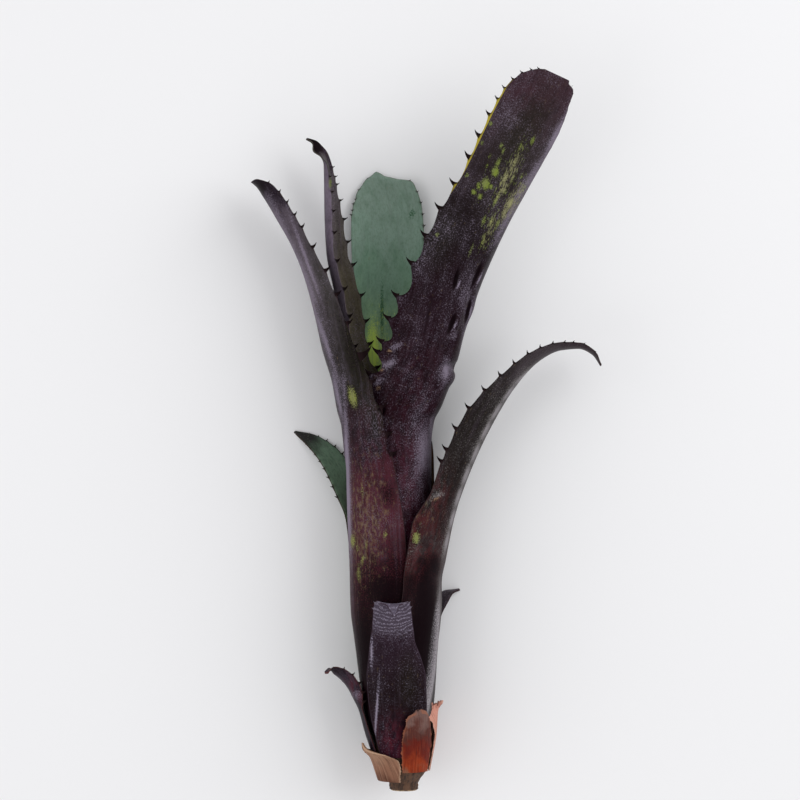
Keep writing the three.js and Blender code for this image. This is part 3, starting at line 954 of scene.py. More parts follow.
def spine_horn() -> bpy.types.Object:
    """Makes one curved spine of length 1 along Z: flattened, thin, and bent towards +X at its point.

    Returns:
        The horn, which is copied and then removed.
    """
    deselect_all()
    bpy.ops.mesh.primitive_circle_add(
        vertices=HORN_SIDES, radius=HORN_RADIUS, fill_type="NGON", location=HORN_FOOT
    )
    bpy.ops.object.transform_apply(location=True, rotation=False, scale=False)
    horn = bpy.context.object
    horn.name = "spine_horn"
    bpy.ops.object.mode_set(mode="EDIT")
    bpy.ops.mesh.select_all(action="SELECT")
    bpy.ops.transform.resize(value=HORN_FLATTENED)
    for forward, outward, narrower in HORN_STEPS:
        bpy.ops.mesh.extrude_region_move(TRANSFORM_OT_translate={"value": (forward, 0, outward)})
        bpy.ops.transform.resize(value=(narrower, narrower, 1))
    turn_faces_out()
    rise = np.array([vertex.co.z for vertex in horn.data.vertices])
    thorn = HORN_FOOT_DARK + (1 - HORN_FOOT_DARK) * smooth_step(rise, *HORN_DARKENS)
    add_attribute(horn, "leaf_edges", np.column_stack([0 * rise, thorn, 0 * rise]))
    return horn


class Board:
    """A material's nodes, with short calls that add one and link it."""

    def __init__(self, name: str) -> None:
        """Starts a material with a Principled shader.

        Args:
            name: The material's name.
        """
        self.material = bpy.data.materials.new(name)
        self.material.use_nodes = True
        self.nodes = self.material.node_tree.nodes
        self.links = self.material.node_tree.links
        self.shader = self.nodes["Principled BSDF"]

    def put(self, socket: Socket, value: Value) -> None:
        """Links an output to a socket, or sets the socket's own value.

        Args:
            socket: The socket that takes the value.
            value: An output, a number or a colour.
        """
        if isinstance(value, Socket):
            self.links.new(value, socket)
        elif isinstance(value, tuple) and socket.type == "RGBA":
            socket.default_value = (*value, 1)
        else:
            socket.default_value = value

    def node(self, kind: str, values: dict[str | int, Value]) -> bpy.types.Node:
        """Adds a node and fills its sockets.

        Args:
            kind: The node's type, without the word that all types start with.
            values: What each socket takes.

        Returns:
            The node.
        """
        node = self.nodes.new("ShaderNode" + kind)
        for name, value in values.items():
            self.put(node.inputs[name], value)
        return node

    def finish(self, values: dict[str, Value]) -> bpy.types.Material:
        """Fills the shader's own sockets.

        Args:
            values: What each socket takes.

        Returns:
            The finished material.
        """
        for name, value in values.items():
            self.put(self.shader.inputs[name], value)
        return self.material

    def attribute(self, name: str) -> Socket:
        """Reads a vector that the mesh stores.

        Args:
            name: The attribute's name.

        Returns:
            The vector.
        """
        node = self.node("Attribute", {})
        node.attribute_name = name
        return node.outputs["Vector"]

    def parts(self, vector: Socket) -> tuple[Socket, ...]:
        """Splits a vector into its three numbers."""
        return tuple(self.node("SeparateXYZ", {0: vector}).outputs)

    def object_place(self) -> Socket:
        """Reads the Object coordinates."""
        return self.node("TexCoord", {}).outputs["Object"]

    def noise(
        self, place: Socket, scale: Point, detail: float, rough: float = 0.5, shift: Point = (0, 0, 0)
    ) -> Socket:
        """Adds a noise pattern between 0 and 1.

        Args:
            place: The coordinates that it follows.
            scale: Its grains to a unit along each of them.
            detail: How many finer layers it has.
            rough: How strong the finer layers are.
            shift: How far the pattern is moved.

        Returns:
            The pattern.
        """
        moved = self.node("Mapping", {"Vector": place})
        moved.inputs["Scale"].default_value = scale
        moved.inputs["Location"].default_value = shift
        values = {"Vector": moved.outputs[0], "Scale": 1, "Detail": detail, "Roughness": rough}
        return self.node("TexNoise", values).outputs[0]

    def math(self, kind: str, first: Value, second: Value = 0.0) -> Socket:
        """Adds a simple step of sums.

        Args:
            kind: The operation.
            first: The first number.
            second: The second number, if the operation takes two.

        Returns:
            The result.
        """
        node = self.node("Math", {0: first, 1: second})
        node.operation = kind
        return node.outputs[0]

    def plus(self, first: Value, second: Value) -> Socket:
        """Adds two numbers."""
        return self.math("ADD", first, second)

    def less(self, first: Value, second: Value) -> Socket:
        """Takes the second number from the first."""
        return self.math("SUBTRACT", first, second)

    def times(self, first: Value, second: Value) -> Socket:
        """Multiplies two numbers."""
        return self.math("MULTIPLY", first, second)

    def swing(self, pattern: Socket, size: float) -> Socket:
        """Lets a pattern swing about 0, by half the size either way."""
        return self.times(self.less(pattern, 0.5), size)

    def mix(self, share: Value, first: Value, second: Value) -> Socket:
        """Mixes two numbers."""
        return self.plus(first, self.times(share, self.less(second, first)))

    def blend(self, share: Value, first: Value, second: Value) -> Socket:
        """Mixes two colours.

        Args:
            share: How much of the second there is.
            first: The first colour.
            second: The second colour.

        Returns:
            The mixed colour.
        """
        node = self.nodes.new("ShaderNodeMix")
        node.data_type = "RGBA"
        for socket, value in ((0, share), (6, first), (7, second)):
            self.put(node.inputs[socket], value)
        return node.outputs[2]

    def ease(self, value: Socket, low: float, high: float, top: float = 1.0) -> Socket:
        """Rises smoothly from 0 at low to top at high.

        Args:
            value: The number that is read.
            low: Where the rise starts.
            high: Where it ends.
            top: What it ends at.

        Returns:
            The risen number.
        """
        node = self.node("MapRange", {"Value": value, "From Min": low, "From Max": high, "To Max": top})
        node.interpolation_type = "SMOOTHSTEP"
        return node.outputs["Result"]

    def ramp(self, value: Socket, stops: Stops) -> Socket:
        """Reads a colour from a ramp.

        Args:
            value: The place on the ramp.
            stops: The ramp's places and colours.

        Returns:
            The colour.
        """
        node = self.node("ValToRGB", {0: value})
        bar = node.color_ramp
        bar.interpolation = "EASE"
        while len(bar.elements) < len(stops):
            bar.elements.new(0.5)
        for element, (place, colour) in zip(bar.elements, stops):
            element.position = place
            element.color = (*colour, 1)
        return node.outputs[0]

    def bump(self, height: Socket, distance: float, strength: float) -> Socket:
        """Turns a height into a normal."""
        return self.node("Bump", {"Height": height, "Distance": distance, "Strength": strength}).outputs[0]


# Where a living leaf's patterns come in: nothing at the first number, and all, or the third, at the second
GROUND_SHIFT = (0.2, 0.8, 0.08)
PATCHES_IN = (0.42, 0.72, 0.55)
FINE_IN = (0.46, 0.66, 0.5)
RED_BROKEN = (0.62, 0.35)
KHAKI_IN = (0.6, 0.86, 0.5)
STREAKS_IN = (0.48, 0.72)
SCURF_CLOUDS = (0.35, 0.7)
SMOKE_IN = (0.5, 0.88, 0.45)
SPECKS_IN = (0.64, 0.8, 0.35)
# The painted sheen and highlights come in where the scurf-and-sheen marks are strong
PAINTED_SHEEN_IN = (0.9, 1.6, 0.8)
FRAY_IN = (0.02, 0.2)
DARK_IN = (0.2, 0.8, 0.97)
TAN_IN = (0.3, 0.8, 0.85)
FLECKS_IN = (0.72, 0.9)
LIME_IN = (0.25, 0.95)
STRAW_IN = (0.75, 1.15)
LIME_STREAKS_IN = (0.35, 0.7)
LIME_RIM_IN = (0.2, 0.6)
RIM_IN = (0, 0.25)

# How far a pattern or a zone pushes what it breaks up
PAINTED_SHEEN_SWING = 0.6
SCURF_SWING = 0.3
MARK_SWING = 2.6
DUST_PUSH = 0.2
KHAKI_PUSH = 0.2
FLECKS_PUSH = 0.235

# How much of its own colour each tint has
PATCHES_DEEP = 0.6
FINE_DEEP = 0.55
OLIVE_SHARE = 0.85
RED_SHARE = 0.62
FLECKS_SHARE = 0.75
LIME_SHARE = 0.92
LIME_DULL = 0.4

# What a marked margin adds to its width, what scurf adds to the roughness, and the relief
RIM_WIDER = 1.1
DUST_ROUGH = 0.3
VEINS_HIGH = 0.7
SPECKS_HIGH = 0.35
LEAF_RELIEF = (0.00022, 0.5)
LEAF_SHINE = 0.03

# The bands of scurf on the short leaf: waves along it that bow back at the margins
BAND_PITCH = 4.4
BAND_BOW = -0.12
BAND_WARP = 12
BAND_SWING = 9
BAND_FROM = 0.1
BAND_TO = 1.9
BAND_LEAST = 0.12
BANDS_START = (0.1, 0.7)
BANDS_STOP = (1.0, 1.2)

# Where a dry sheath's patterns come in
DRY_SHIFT = (0.3, 0.7, 0.25)
FIBRES_IN = (0.5, 0.72, 0.7)
PALE_FIBRES_IN = (0.45, 0.28, 0.45)
BLOTS_IN = (0.55, 0.8, 0.5)
PALE_EDGE_IN = (1.1, 0.1, 0.55)
PAPER_HIGH = 0.3
DRY_RELIEF = (0.0005, 0.8)
DRY_SHINE = 0.15

# How far a leaf's seed moves its patterns, on a living and on a dry one
SEED_STEP = (31.7, 17.3)
DRY_SEED_STEP = (21.1, 9.7)

# The stem's patterns, in grains to a metre, and where they come in
WOOD_FIBRES = (900, 60, 900)
WOOD_KNOTS = (260, 420, 260)
WOOD_RINGS = (700, 700, 700)
WOOD_FIBRES_IN = (0.35, 0.7)
WOOD_KNOTS_IN = (0.58, 0.72, 0.6)
WOOD_RINGS_IN = (0.4, 0.65)
WOOD_RELIEF = (0.0006, 0.8)


class SkinBoard(Board):
    """The board of a leaf's finish, which reads the leaf's own places and marks."""

    def __init__(self, name: str, seed: float, step: tuple[float, float]) -> None:
        """Starts the material and reads what the leaf stores.

        Args:
            name: The material's name.
            seed: The leaf's own number, so that no two leaves have the same patterns.
            step: How far one seed moves the patterns, across and along.
        """
        super().__init__(name)
        self.away = (seed * step[0], seed * step[1], 0)
        self.place = self.attribute("leaf_place")
        self.edge, self.thorn, self.share = self.parts(self.attribute("leaf_edges"))

    def pattern(self, grain: Grain) -> Socket:
        """Adds one of the patterns on a leaf.

        Args:
            grain: Which pattern.

        Returns:
            The pattern, which differs between the leaf's two skins.
        """
        across, along, detail, rough = grain.value
        away = (0, 0, 0) if grain is Grain.FINE else self.away
        return self.noise(self.place, (across, along, SKIN_STEP), detail, rough, away)

    def mark(self, mark: Mark) -> Socket:
        """Reads how strong one kind of mark is."""
        name, part = mark.value
        return self.parts(self.attribute(name))[part]

    def frayed(self, mark: Mark, ragged: Socket) -> Socket:
        """Reads a kind of mark with a ragged edge, and nothing where there is none."""
        strength = self.mark(mark)
        return self.plus(strength, self.times(ragged, self.ease(strength, *FRAY_IN)))


@dataclass(frozen=True)
class LeafFinish:
    """A living leaf: ground colours from foot to tip, scurf with a painted sheen and painted highlights,
    blotches, margins and spines.
    """

    name: str
    outer: Stops
    inner: Stops = ()
    scurf: Colour = hue(128, 118, 134)
    # The colour of the painted sheen and painted highlights
    painted_sheen: Colour = hue(134, 124, 140)
    lime: Colour = hue(116, 130, 54)
    rim: Colour = hue(166, 150, 56)
    straw: Colour = hue(150, 150, 100)
    deep: Colour = hue(14, 4, 8)
    red: Colour = hue(84, 26, 38)
    tan: Colour = hue(130, 104, 82)
    khaki: Colour = hue(124, 106, 78)
    olive: Colour = hue(26, 27, 12)
    margin: Colour = hue(48, 34, 36)
    margin_width: float = 0.35
    spine: Colour = hue(18, 8, 10)
    streaks: Colour = hue(92, 80, 94)
    streak_share: float = 0.3
    scurf_share: float = 0.5
    roughness: float = 0.33
    bands: float = 0.0
    seed: float = 0.0

    def material(self) -> bpy.types.Material:
        """Builds the finish from nodes that read the leaf's own coordinates.

        Returns:
            The material.
        """
        board = SkinBoard(self.name, self.seed, SEED_STEP)
        clouds = board.pattern(Grain.CLOUDS)
        patches = board.pattern(Grain.PATCHES)
        streaks = board.pattern(Grain.STREAKS)
        specks = board.pattern(Grain.SPECKS)

        colour = self.zones(board, self.ground(board, clouds, patches), patches)
        streak = board.times(board.ease(streaks, *STREAKS_IN), self.streak_share)
        colour = board.blend(streak, colour, self.streaks)
        dust = self.dust(board, clouds, specks)
        colour = board.blend(dust, colour, self.scurf)
        # Painted sheen and painted highlights, laid on where the scurf-and-sheen marks are strong
        scurf_and_sheen = board.plus(board.mark(Mark.SILVER), board.swing(streaks, PAINTED_SHEEN_SWING))
        colour = board.blend(board.ease(scurf_and_sheen, *PAINTED_SHEEN_IN), colour, self.painted_sheen)
        colour = self.spots(board, colour, streaks, specks)
        colour = self.margins(board, colour)

        veins = board.times(board.pattern(Grain.VEINS), VEINS_HIGH)
        relief = board.plus(veins, board.times(specks, SPECKS_HIGH))
        return board.finish({
            "Base Color": colour,
            "Roughness": board.plus(board.times(dust, DUST_ROUGH), self.roughness),
            "Normal": board.bump(relief, *LEAF_RELIEF),
            "Specular IOR Level": LEAF_SHINE,
        })

    def ground(self, board: SkinBoard, clouds: Socket, patches: Socket) -> Socket:
        """Lays the ground colours of both skins, deeper in patches.

        Args:
            board: The leaf's board.
            clouds: The widest pattern.
            patches: The next pattern.

        Returns:
            The colour.
        """
        _, _, skin = board.parts(board.place)
        moved = board.plus(board.share, board.ease(clouds, *GROUND_SHIFT))
        colour = board.blend(skin, board.ramp(moved, self.outer), board.ramp(moved, self.inner))
        deep = board.blend(PATCHES_DEEP, colour, self.deep)
        colour = board.blend(board.ease(patches, *PATCHES_IN), colour, deep)
        deep = board.blend(FINE_DEEP, colour, self.deep)
        return board.blend(board.ease(board.pattern(Grain.FINE), *FINE_IN), colour, deep)

    def zones(self, board: SkinBoard, colour: Socket, patches: Socket) -> Socket:
        """Tints the olive, red and tan zones, each broken up by its own mottle.

        Args:
            board: The leaf's board.
            colour: The colour so far.
            patches: The pattern that breaks up the red.

        Returns:
            The colour.
        """
        colour = board.blend(board.times(board.mark(Mark.OLIVE_ZONE), OLIVE_SHARE), colour, self.olive)
        red = board.times(board.mark(Mark.RED_ZONE), board.ease(patches, *RED_BROKEN))
        colour = board.blend(board.times(red, RED_SHARE), colour, self.red)
        tan = board.plus(board.pattern(Grain.MOTTLE), board.times(board.mark(Mark.TAN_ZONE), KHAKI_PUSH))
        return board.blend(board.ease(tan, *KHAKI_IN), colour, self.khaki)

    def dust(self, board: SkinBoard, clouds: Socket, specks: Socket) -> Socket:
        """Spreads the silvery scurf: fine specks, thicker in patches and on the scurf-and-sheen marks, so
        that it also lightens the painted highlights.

        Args:
            board: The leaf's board.
            clouds: The pattern of its patches.
            specks: The pattern of its specks.

        Returns:
            How thick the scurf is.
        """
        scurf_and_sheen = board.mark(Mark.SILVER)
        spread = board.times(board.ease(clouds, *SCURF_CLOUDS), self.scurf_share)
        value = board.plus(specks, board.times(board.plus(spread, scurf_and_sheen), DUST_PUSH))
        value = board.plus(value, board.swing(board.pattern(Grain.GATHERED), SCURF_SWING))
        dust = board.plus(board.ease(value, *SMOKE_IN), board.ease(value, *SPECKS_IN))
        if not self.bands:
            return dust
        across, along, _ = board.parts(board.place)
        bow = board.times(board.times(across, across), BAND_BOW)
        phase = board.plus(board.times(along, BAND_PITCH), bow)
        warp = board.times(board.pattern(Grain.WARP), BAND_WARP)
        wave = board.math("SINE", board.plus(phase, warp))
        rough = board.plus(wave, board.swing(specks, BAND_SWING))
        ring = board.ease(rough, BAND_FROM, BAND_TO, self.bands)
        banded = board.less(board.ease(scurf_and_sheen, *BANDS_START), board.ease(scurf_and_sheen, *BANDS_STOP))
        return board.mix(banded, dust, board.plus(ring, BAND_LEAST))

    def spots(self, board: SkinBoard, colour: Socket, streaks: Socket, specks: Socket) -> Socket:
        """Sets the dark marks, the tan dots and the yellow-green blotches and flecks.

        Args:
            board: The leaf's board.
            colour: The colour so far.
            streaks: The pattern that streaks the blotches.
            specks: The pattern that frays every mark.

        Returns:
            The colour.
        """
        ragged = board.swing(specks, MARK_SWING)
        dark = board.ease(board.frayed(Mark.DARK, ragged), *DARK_IN)
        colour = board.blend(dark, colour, self.deep)
        tan = board.ease(board.frayed(Mark.TAN, ragged), *TAN_IN)
        colour = board.blend(tan, colour, self.tan)
        lime_zone = board.mark(Mark.LIME_ZONE)
        flecks = board.plus(board.pattern(Grain.FLECKS), board.times(lime_zone, FLECKS_PUSH))
        flecks = board.times(board.ease(flecks, *FLECKS_IN), FLECKS_SHARE)
        lit = board.math("MAXIMUM", board.ease(board.frayed(Mark.LIME, ragged), *LIME_IN), flecks)
        straw = board.blend(board.ease(lime_zone, *STRAW_IN), self.lime, self.straw)
        dull = board.blend(LIME_DULL, straw, self.streaks)
        streaked = board.blend(board.ease(streaks, *LIME_STREAKS_IN), straw, dull)
        return board.blend(board.times(lit, LIME_SHARE), colour, streaked)

    def margins(self, board: SkinBoard, colour: Socket) -> Socket:
        """Draws the margins, wider and yellow where they are marked so, and the spines.

        Args:
            board: The leaf's board.
            colour: The colour so far.

        Returns:
            The colour.
        """
        lime_rim = board.mark(Mark.LIME_RIM)
        rim_colour = board.blend(board.ease(lime_rim, *LIME_RIM_IN), self.margin, self.rim)
        rim_width = board.plus(board.times(lime_rim, RIM_WIDER), self.margin_width)
        rim = board.ease(board.less(rim_width, board.edge), *RIM_IN)
        return board.blend(board.thorn, board.blend(rim, colour, rim_colour), self.spine)


@dataclass(frozen=True)
class DryFinish(LeafFinish):
    """A dead sheath: papery, with lengthwise fibres between a pale and a dark colour."""

    fibre: Colour = hue(60, 28, 20)
    pale: Colour = hue(190, 150, 125)

    def material(self) -> bpy.types.Material:
        """Builds the papery finish.

        Returns:
            The material.
        """
        board = SkinBoard(self.name, self.seed, DRY_SEED_STEP)
        fibres = board.pattern(Grain.FIBRES)
        blots = board.pattern(Grain.BLOTS)
        colour = board.ramp(board.plus(board.share, board.ease(blots, *DRY_SHIFT)), self.outer)
        colour = board.blend(board.ease(fibres, *FIBRES_IN), colour, self.fibre)
        colour = board.blend(board.ease(fibres, *PALE_FIBRES_IN), colour, self.pale)
        colour = board.blend(board.ease(blots, *BLOTS_IN), colour, self.fibre)
        colour = board.blend(board.ease(board.edge, *PALE_EDGE_IN), colour, self.pale)
        relief = board.plus(fibres, board.times(board.pattern(Grain.PAPER), PAPER_HIGH))
        return board.finish({
            "Base Color": colour,
            "Roughness": self.roughness,
            "Normal": board.bump(relief, *DRY_RELIEF),
            "Specular IOR Level": DRY_SHINE,
        })


@dataclass(frozen=True)
class WoodFinish:
    """The cut stem: brown fibres round its length and a pale pith on the cut."""

    name: str = "stem_wood"
    bark: Colour = hue(92, 64, 46)
    dark: Colour = hue(48, 32, 24)
    pith: Colour = hue(176, 150, 112)
    roughness: float = 0.85
    cut_depth: tuple[float, float] = (0.0006, 0.0001)

    def material(self) -> bpy.types.Material:
        """Builds the woody finish on Object coordinates.

        Returns:
            The material.
        """
        board = Board(self.name)
        place = board.object_place()
        fibres = board.noise(place, WOOD_FIBRES, 4, 0.6)
        knots = board.noise(place, WOOD_KNOTS, 2)
        rings = board.noise(place, WOOD_RINGS, 3)
        colour = board.blend(board.ease(fibres, *WOOD_FIBRES_IN), self.bark, self.dark)
        colour = board.blend(board.ease(knots, *WOOD_KNOTS_IN), colour, self.dark)
        _, height, _ = board.parts(place)
        low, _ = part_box("stem")
        cut = board.ease(height, *(low.y + depth for depth in self.cut_depth))
        face = board.blend(board.ease(rings, *WOOD_RINGS_IN), self.pith, self.bark)
        return board.finish({
            "Base Color": board.blend(cut, colour, face),
            "Normal": board.bump(board.plus(fibres, knots), *WOOD_RELIEF),
            "Roughness": self.roughness,
        })


@dataclass
class Stem:
    """The short woody stem that the leaf bases sit on.

    Attributes:
        name: The CAD node that it stands for.
        sides: The steps round it.
        finish: Its material.
        insets: The steps inward on its cut face.
        scars: The size, the number round it and the twist of each kind of leaf scar.
        profile: Rows of a height and a radius.
    """

    name: str = "stem"
    sides: int = 72
    finish: WoodFinish = field(default_factory=WoodFinish)
    insets: tuple[float, ...] = (2.2, 1.6)
    scars: tuple[Point, ...] = ((0.16, 9, 0.8), (0.12, 23, 2.3))
    profile: tuple[tuple[float, float], ...] = (
        (0.0, 5.1), (0.5, 5.6), (1.2, 5.55), (1.9, 5.8), (2.6, 5.6), (3.2, 5.9), (4.2, 6.6), (5.2, 7.4),
        (6.4, 8.4), (8.0, 9.6), (10.0, 10.0), (14.0, 10.3), (19.0, 10.2), (23.0, 9.9), (27.0, 9.4),
        (31.0, 8.6), (36.0, 8.0), (41.0, 6.4), (44.0, 3.6),
    )

    def cut_face(self) -> bpy.types.Object:
        """Draws the cut face as a disc with rings, and leaves its outer edge selected.

        Returns:
            The disc, which the stem is drawn up from.
        """
        deselect_all()
        bpy.ops.mesh.primitive_circle_add(
            vertices=self.sides, radius=1, fill_type="NGON", rotation=(math.pi / 2, 0, 0)
        )
        piece = bpy.context.object
        piece.name = piece.data.name = "stem_fine"
        bpy.ops.object.transform_apply(location=False, rotation=True, scale=False)
        bpy.ops.object.mode_set(mode="EDIT")
        bpy.ops.mesh.select_all(action="SELECT")
        _, radius = self.profile[0]
        bpy.ops.transform.resize(value=(radius, 1, radius))
        for step in self.insets:
            bpy.ops.mesh.inset(thickness=step)
        bpy.ops.mesh.select_all(action="DESELECT")
        bpy.ops.object.mode_set(mode="OBJECT")
        for edge in piece.data.edges:
            ends = [piece.data.vertices[index].co for index in edge.vertices]
            edge.select = all(abs(math.hypot(end.x, end.z) - radius) < RIM_MATCH for end in ends)
        return piece

    def build(self) -> bpy.types.Object:
        """Draws the stem up ring by ring from its cut face, then roughens and dresses it.

        Returns:
            The finished stem.
        """
        piece = self.cut_face()
        bpy.ops.object.mode_set(mode="EDIT")
        bpy.ops.mesh.select_mode(type="EDGE")
        for (height, radius), (above, wider) in zip(self.profile, self.profile[1:]):
            bpy.ops.mesh.extrude_edges_move(TRANSFORM_OT_translate={"value": (0, above - height, 0)})
            wide = wider / radius
            bpy.ops.transform.resize(value=(wide, 1, wide), center_override=(0, above, 0))
        bpy.ops.mesh.edge_face_add()
        turn_faces_out()
        self.settle(piece)
        bpy.ops.object.shade_smooth_by_angle(angle=math.radians(STEM_CREASE))
        piece.data.materials.append(self.finish.material())
        place_on_frame(piece, self.name)
        return piece

    def settle(self, piece: bpy.types.Object) -> None:
        """Bends the stem with the tube, roughens it with leaf scars and sets it in the frame.

        Args:
            piece: The stem as drawn.
        """
        points = read_points(piece.data)
        height = points[:, 1]
        turn = np.arctan2(points[:, 2], points[:, 0])
        radius = np.hypot(points[:, 0], points[:, 2])
        rough = sum(size * np.sin(turn * round_it + height * twist) for size, round_it, twist in self.scars)
        rough *= (radius > SCARS_FROM_RADIUS) * (height > SCARS_FROM_HEIGHT)
        points[:, 0] = (radius + rough) * np.cos(turn) + tube_axis(height)
        points[:, 2] = (radius + rough) * np.sin(turn) + BELLY_RADIUS
        move_points(piece.data, points)


# A torn margin has no spines: its first would stand far below the foot
TORN_EDGE = SpineRule(first=999, pitch=3, widest=3.4, grows=30, length=0.8, scallop=0.5, stop=6)

# Dark marks for the hooks of the boundary where the left outer leaf meets the right broad one, with the
# painted shadows that the hooks cast beside them
BOUNDARY_HOOKS_AND_SHADOWS = (
    Spot(382, 409.4, 1.5, 3.6, 0, 1.8), Spot(383, 412, 2.6, 1.6, 0, 1.6),
    Spot(388.6, 434, 3.2, 1.4, 24, 1.8), Spot(392.8, 453.6, 1.4, 3.4, 0, 1.8),
)


def left_inner_leaf() -> Leaf:
    """The narrow dark channelled leaf behind the outer left leaf.

    Returns:
        The leaf with its finish, marks and stations.
    """
    finish = LeafFinish(
        name="leaf_left_inner",
        outer=shades(
            (0, 24, 12, 18), (0.6, 62, 50, 60), (0.75, 130, 118, 134), (0.94, 122, 110, 126),
            (1, 38, 24, 34),
        ),
        inner=shades(
            (0, 60, 66, 40), (0.55, 84, 78, 56), (0.7, 98, 90, 74), (0.85, 84, 78, 74), (0.97, 82, 76, 78),
            (1, 38, 26, 34),
        ),
        margin=hue(66, 62, 58), red=hue(60, 40, 40), seed=1,
    )
    marks = {
        Mark.LIME: (Spot(330, 183, 5, 1.7, 0, 0.8),),
        Mark.DARK: (Spot(314, 146, 9, 8, 0, 1.2), Spot(338, 225, 40, 2, -4, 0.3)),
        Mark.OLIVE_ZONE: (Spot(352, 300, 50, 9, -12, 0.5),),
    }
    return Leaf(
        name="leaf_left_inner", finish=finish, layer=5, midrib=200, foot=36, leaves=156, columns=56,
        wrap=[(36, 90, 320), (120, 112, 300), (140, 130, 280), (156, 142, 262)],
        blade=[
            (-19.6, 176, 15.5, 199, 13.4, 15, 13.0), (-22.4, 190, 15.2, 198, 12.5, 14.3, 13.4),
            (-24.6, 201, 15.8, 198, 11, 13.2, 13), (-27.4, 214, 16.6, 197, 10, 11.8, 11.8),
            (-28.3, 227, 17.4, 195, 9, 10.7, 10.5), (-28.6, 240, 18.6, 192, 7.5, 8.6, 8.0),
            (-28.8, 250, 19.6, 192, 6, 5.6, 5.2), (-29.4, 253.2, 19.9, 206, 7, 4.2, 3.8),
            (-30.6, 256.2, 20.2, 236, 8, 4.2, 2.0), (-32.6, 258.9, 20.4, 246, 9, 1.8, 1.0),
            (-36.0, 260.2, 20.4, 250, 9, 0.3, 0.3),
        ],
        spines=SpineRule(first=13, pitch=4.4, widest=11.5, grows=60, length=2.3, scallop=3.4, stop=132),
        places={
            Side.LOW: (18, 24.1, 31.7, 40.7, 52.4, 63.9, 75.9, 88),
            Side.HIGH: (14.5, 18.3, 21.4, 27.9, 35.5, 44.9, 55.8, 68.2, 78, 87.4, 97),
        },
        looks=Looks(seed=11, marks=marks),
    )


def back_green_leaf() -> Leaf:
    """The grey-green leaf at the back, whose inner side looks up.

    Returns:
        The leaf with its finish, marks and stations.
    """
    finish = LeafFinish(
        name="leaf_back_green",
        outer=shades((0, 70, 74, 48), (0.6, 88, 100, 80), (1, 104, 112, 104)),
        # The inner skin's yellow-green foot and the lime are painted brighter than the leaf's own colour,
        # as painted light for the glow through the leaf in the shade between its neighbours
        inner=shades(
            (0, 172, 208, 92), (0.6, 172, 208, 104), (0.67, 144, 176, 130), (0.84, 116, 146, 126),
            (0.93, 130, 154, 140), (1, 126, 146, 134),
        ),
        scurf=hue(124, 140, 130), streaks=hue(108, 124, 114), margin=hue(96, 110, 96),
        spine=hue(40, 30, 30), deep=hue(62, 96, 70), lime=hue(204, 232, 104), roughness=0.5,
        scurf_share=0.2, seed=2,
    )
    marks = {
        Mark.LIME: (
            Spot(373, 352, 26, 6, 0, 1.2), Spot(382, 356, 16, 7, 0, 0.8), Spot(398, 322, 12, 6, -8, 0.35),
        ),
        Mark.LIME_ZONE: (Spot(380, 330, 36, 16, 0, 0.9),),
        Mark.DARK: (Spot(412, 214, 5, 3, 20, 0.7), Spot(382, 312, 26, 1.6, 0, 0.9)),
    }
    return Leaf(
        name="leaf_back_green", finish=finish, layer=4, midrib=270, foot=31, leaves=150, columns=56,
        wrap=[(31, 170, 370), (120, 190, 350), (150, 206, 334)],
        blade=[
            (-4.6, 170, 4.6, 270, 17, 14.2, 14.2), (-4.8, 187, 2.6, 270, 21, 13.8, 13.8),
            (-4.2, 204, 0.9, 270, 25, 14.6, 14.6), (-3.6, 220, 0.1, 270, 27, 16, 16),
            (-4.2, 232, 0.1, 270, 27, 14.8, 15.8), (-5.4, 239.2, 0.6, 270, 26, 12.7, 14.6),
            (-6.3, 242.0, 0.9, 270, 25, 11.0, 12.2), (-6.9, 244.0, 1.2, 270, 25, 8.9, 7.2),
            (-7.5, 246.0, 1.6, 270, 25, 5.7, 3.6), (-7.8, 247.4, 1.9, 270, 25, 3.0, 1.8),
            (-8.2, 248.6, 2.2, 270, 25, 0.3, 0.3),
        ],
        spines=SpineRule(first=6, pitch=3.4, widest=6.5, grows=50, length=1.9, scallop=0.7, stop=176),
        places={Side.LOW: (1.8, 4.8, 7.7, 10.8, 13.8, 17, 40, 47, 54, 61, 68, 75, 82)},
        looks=Looks(seed=12, marks=marks),
    )


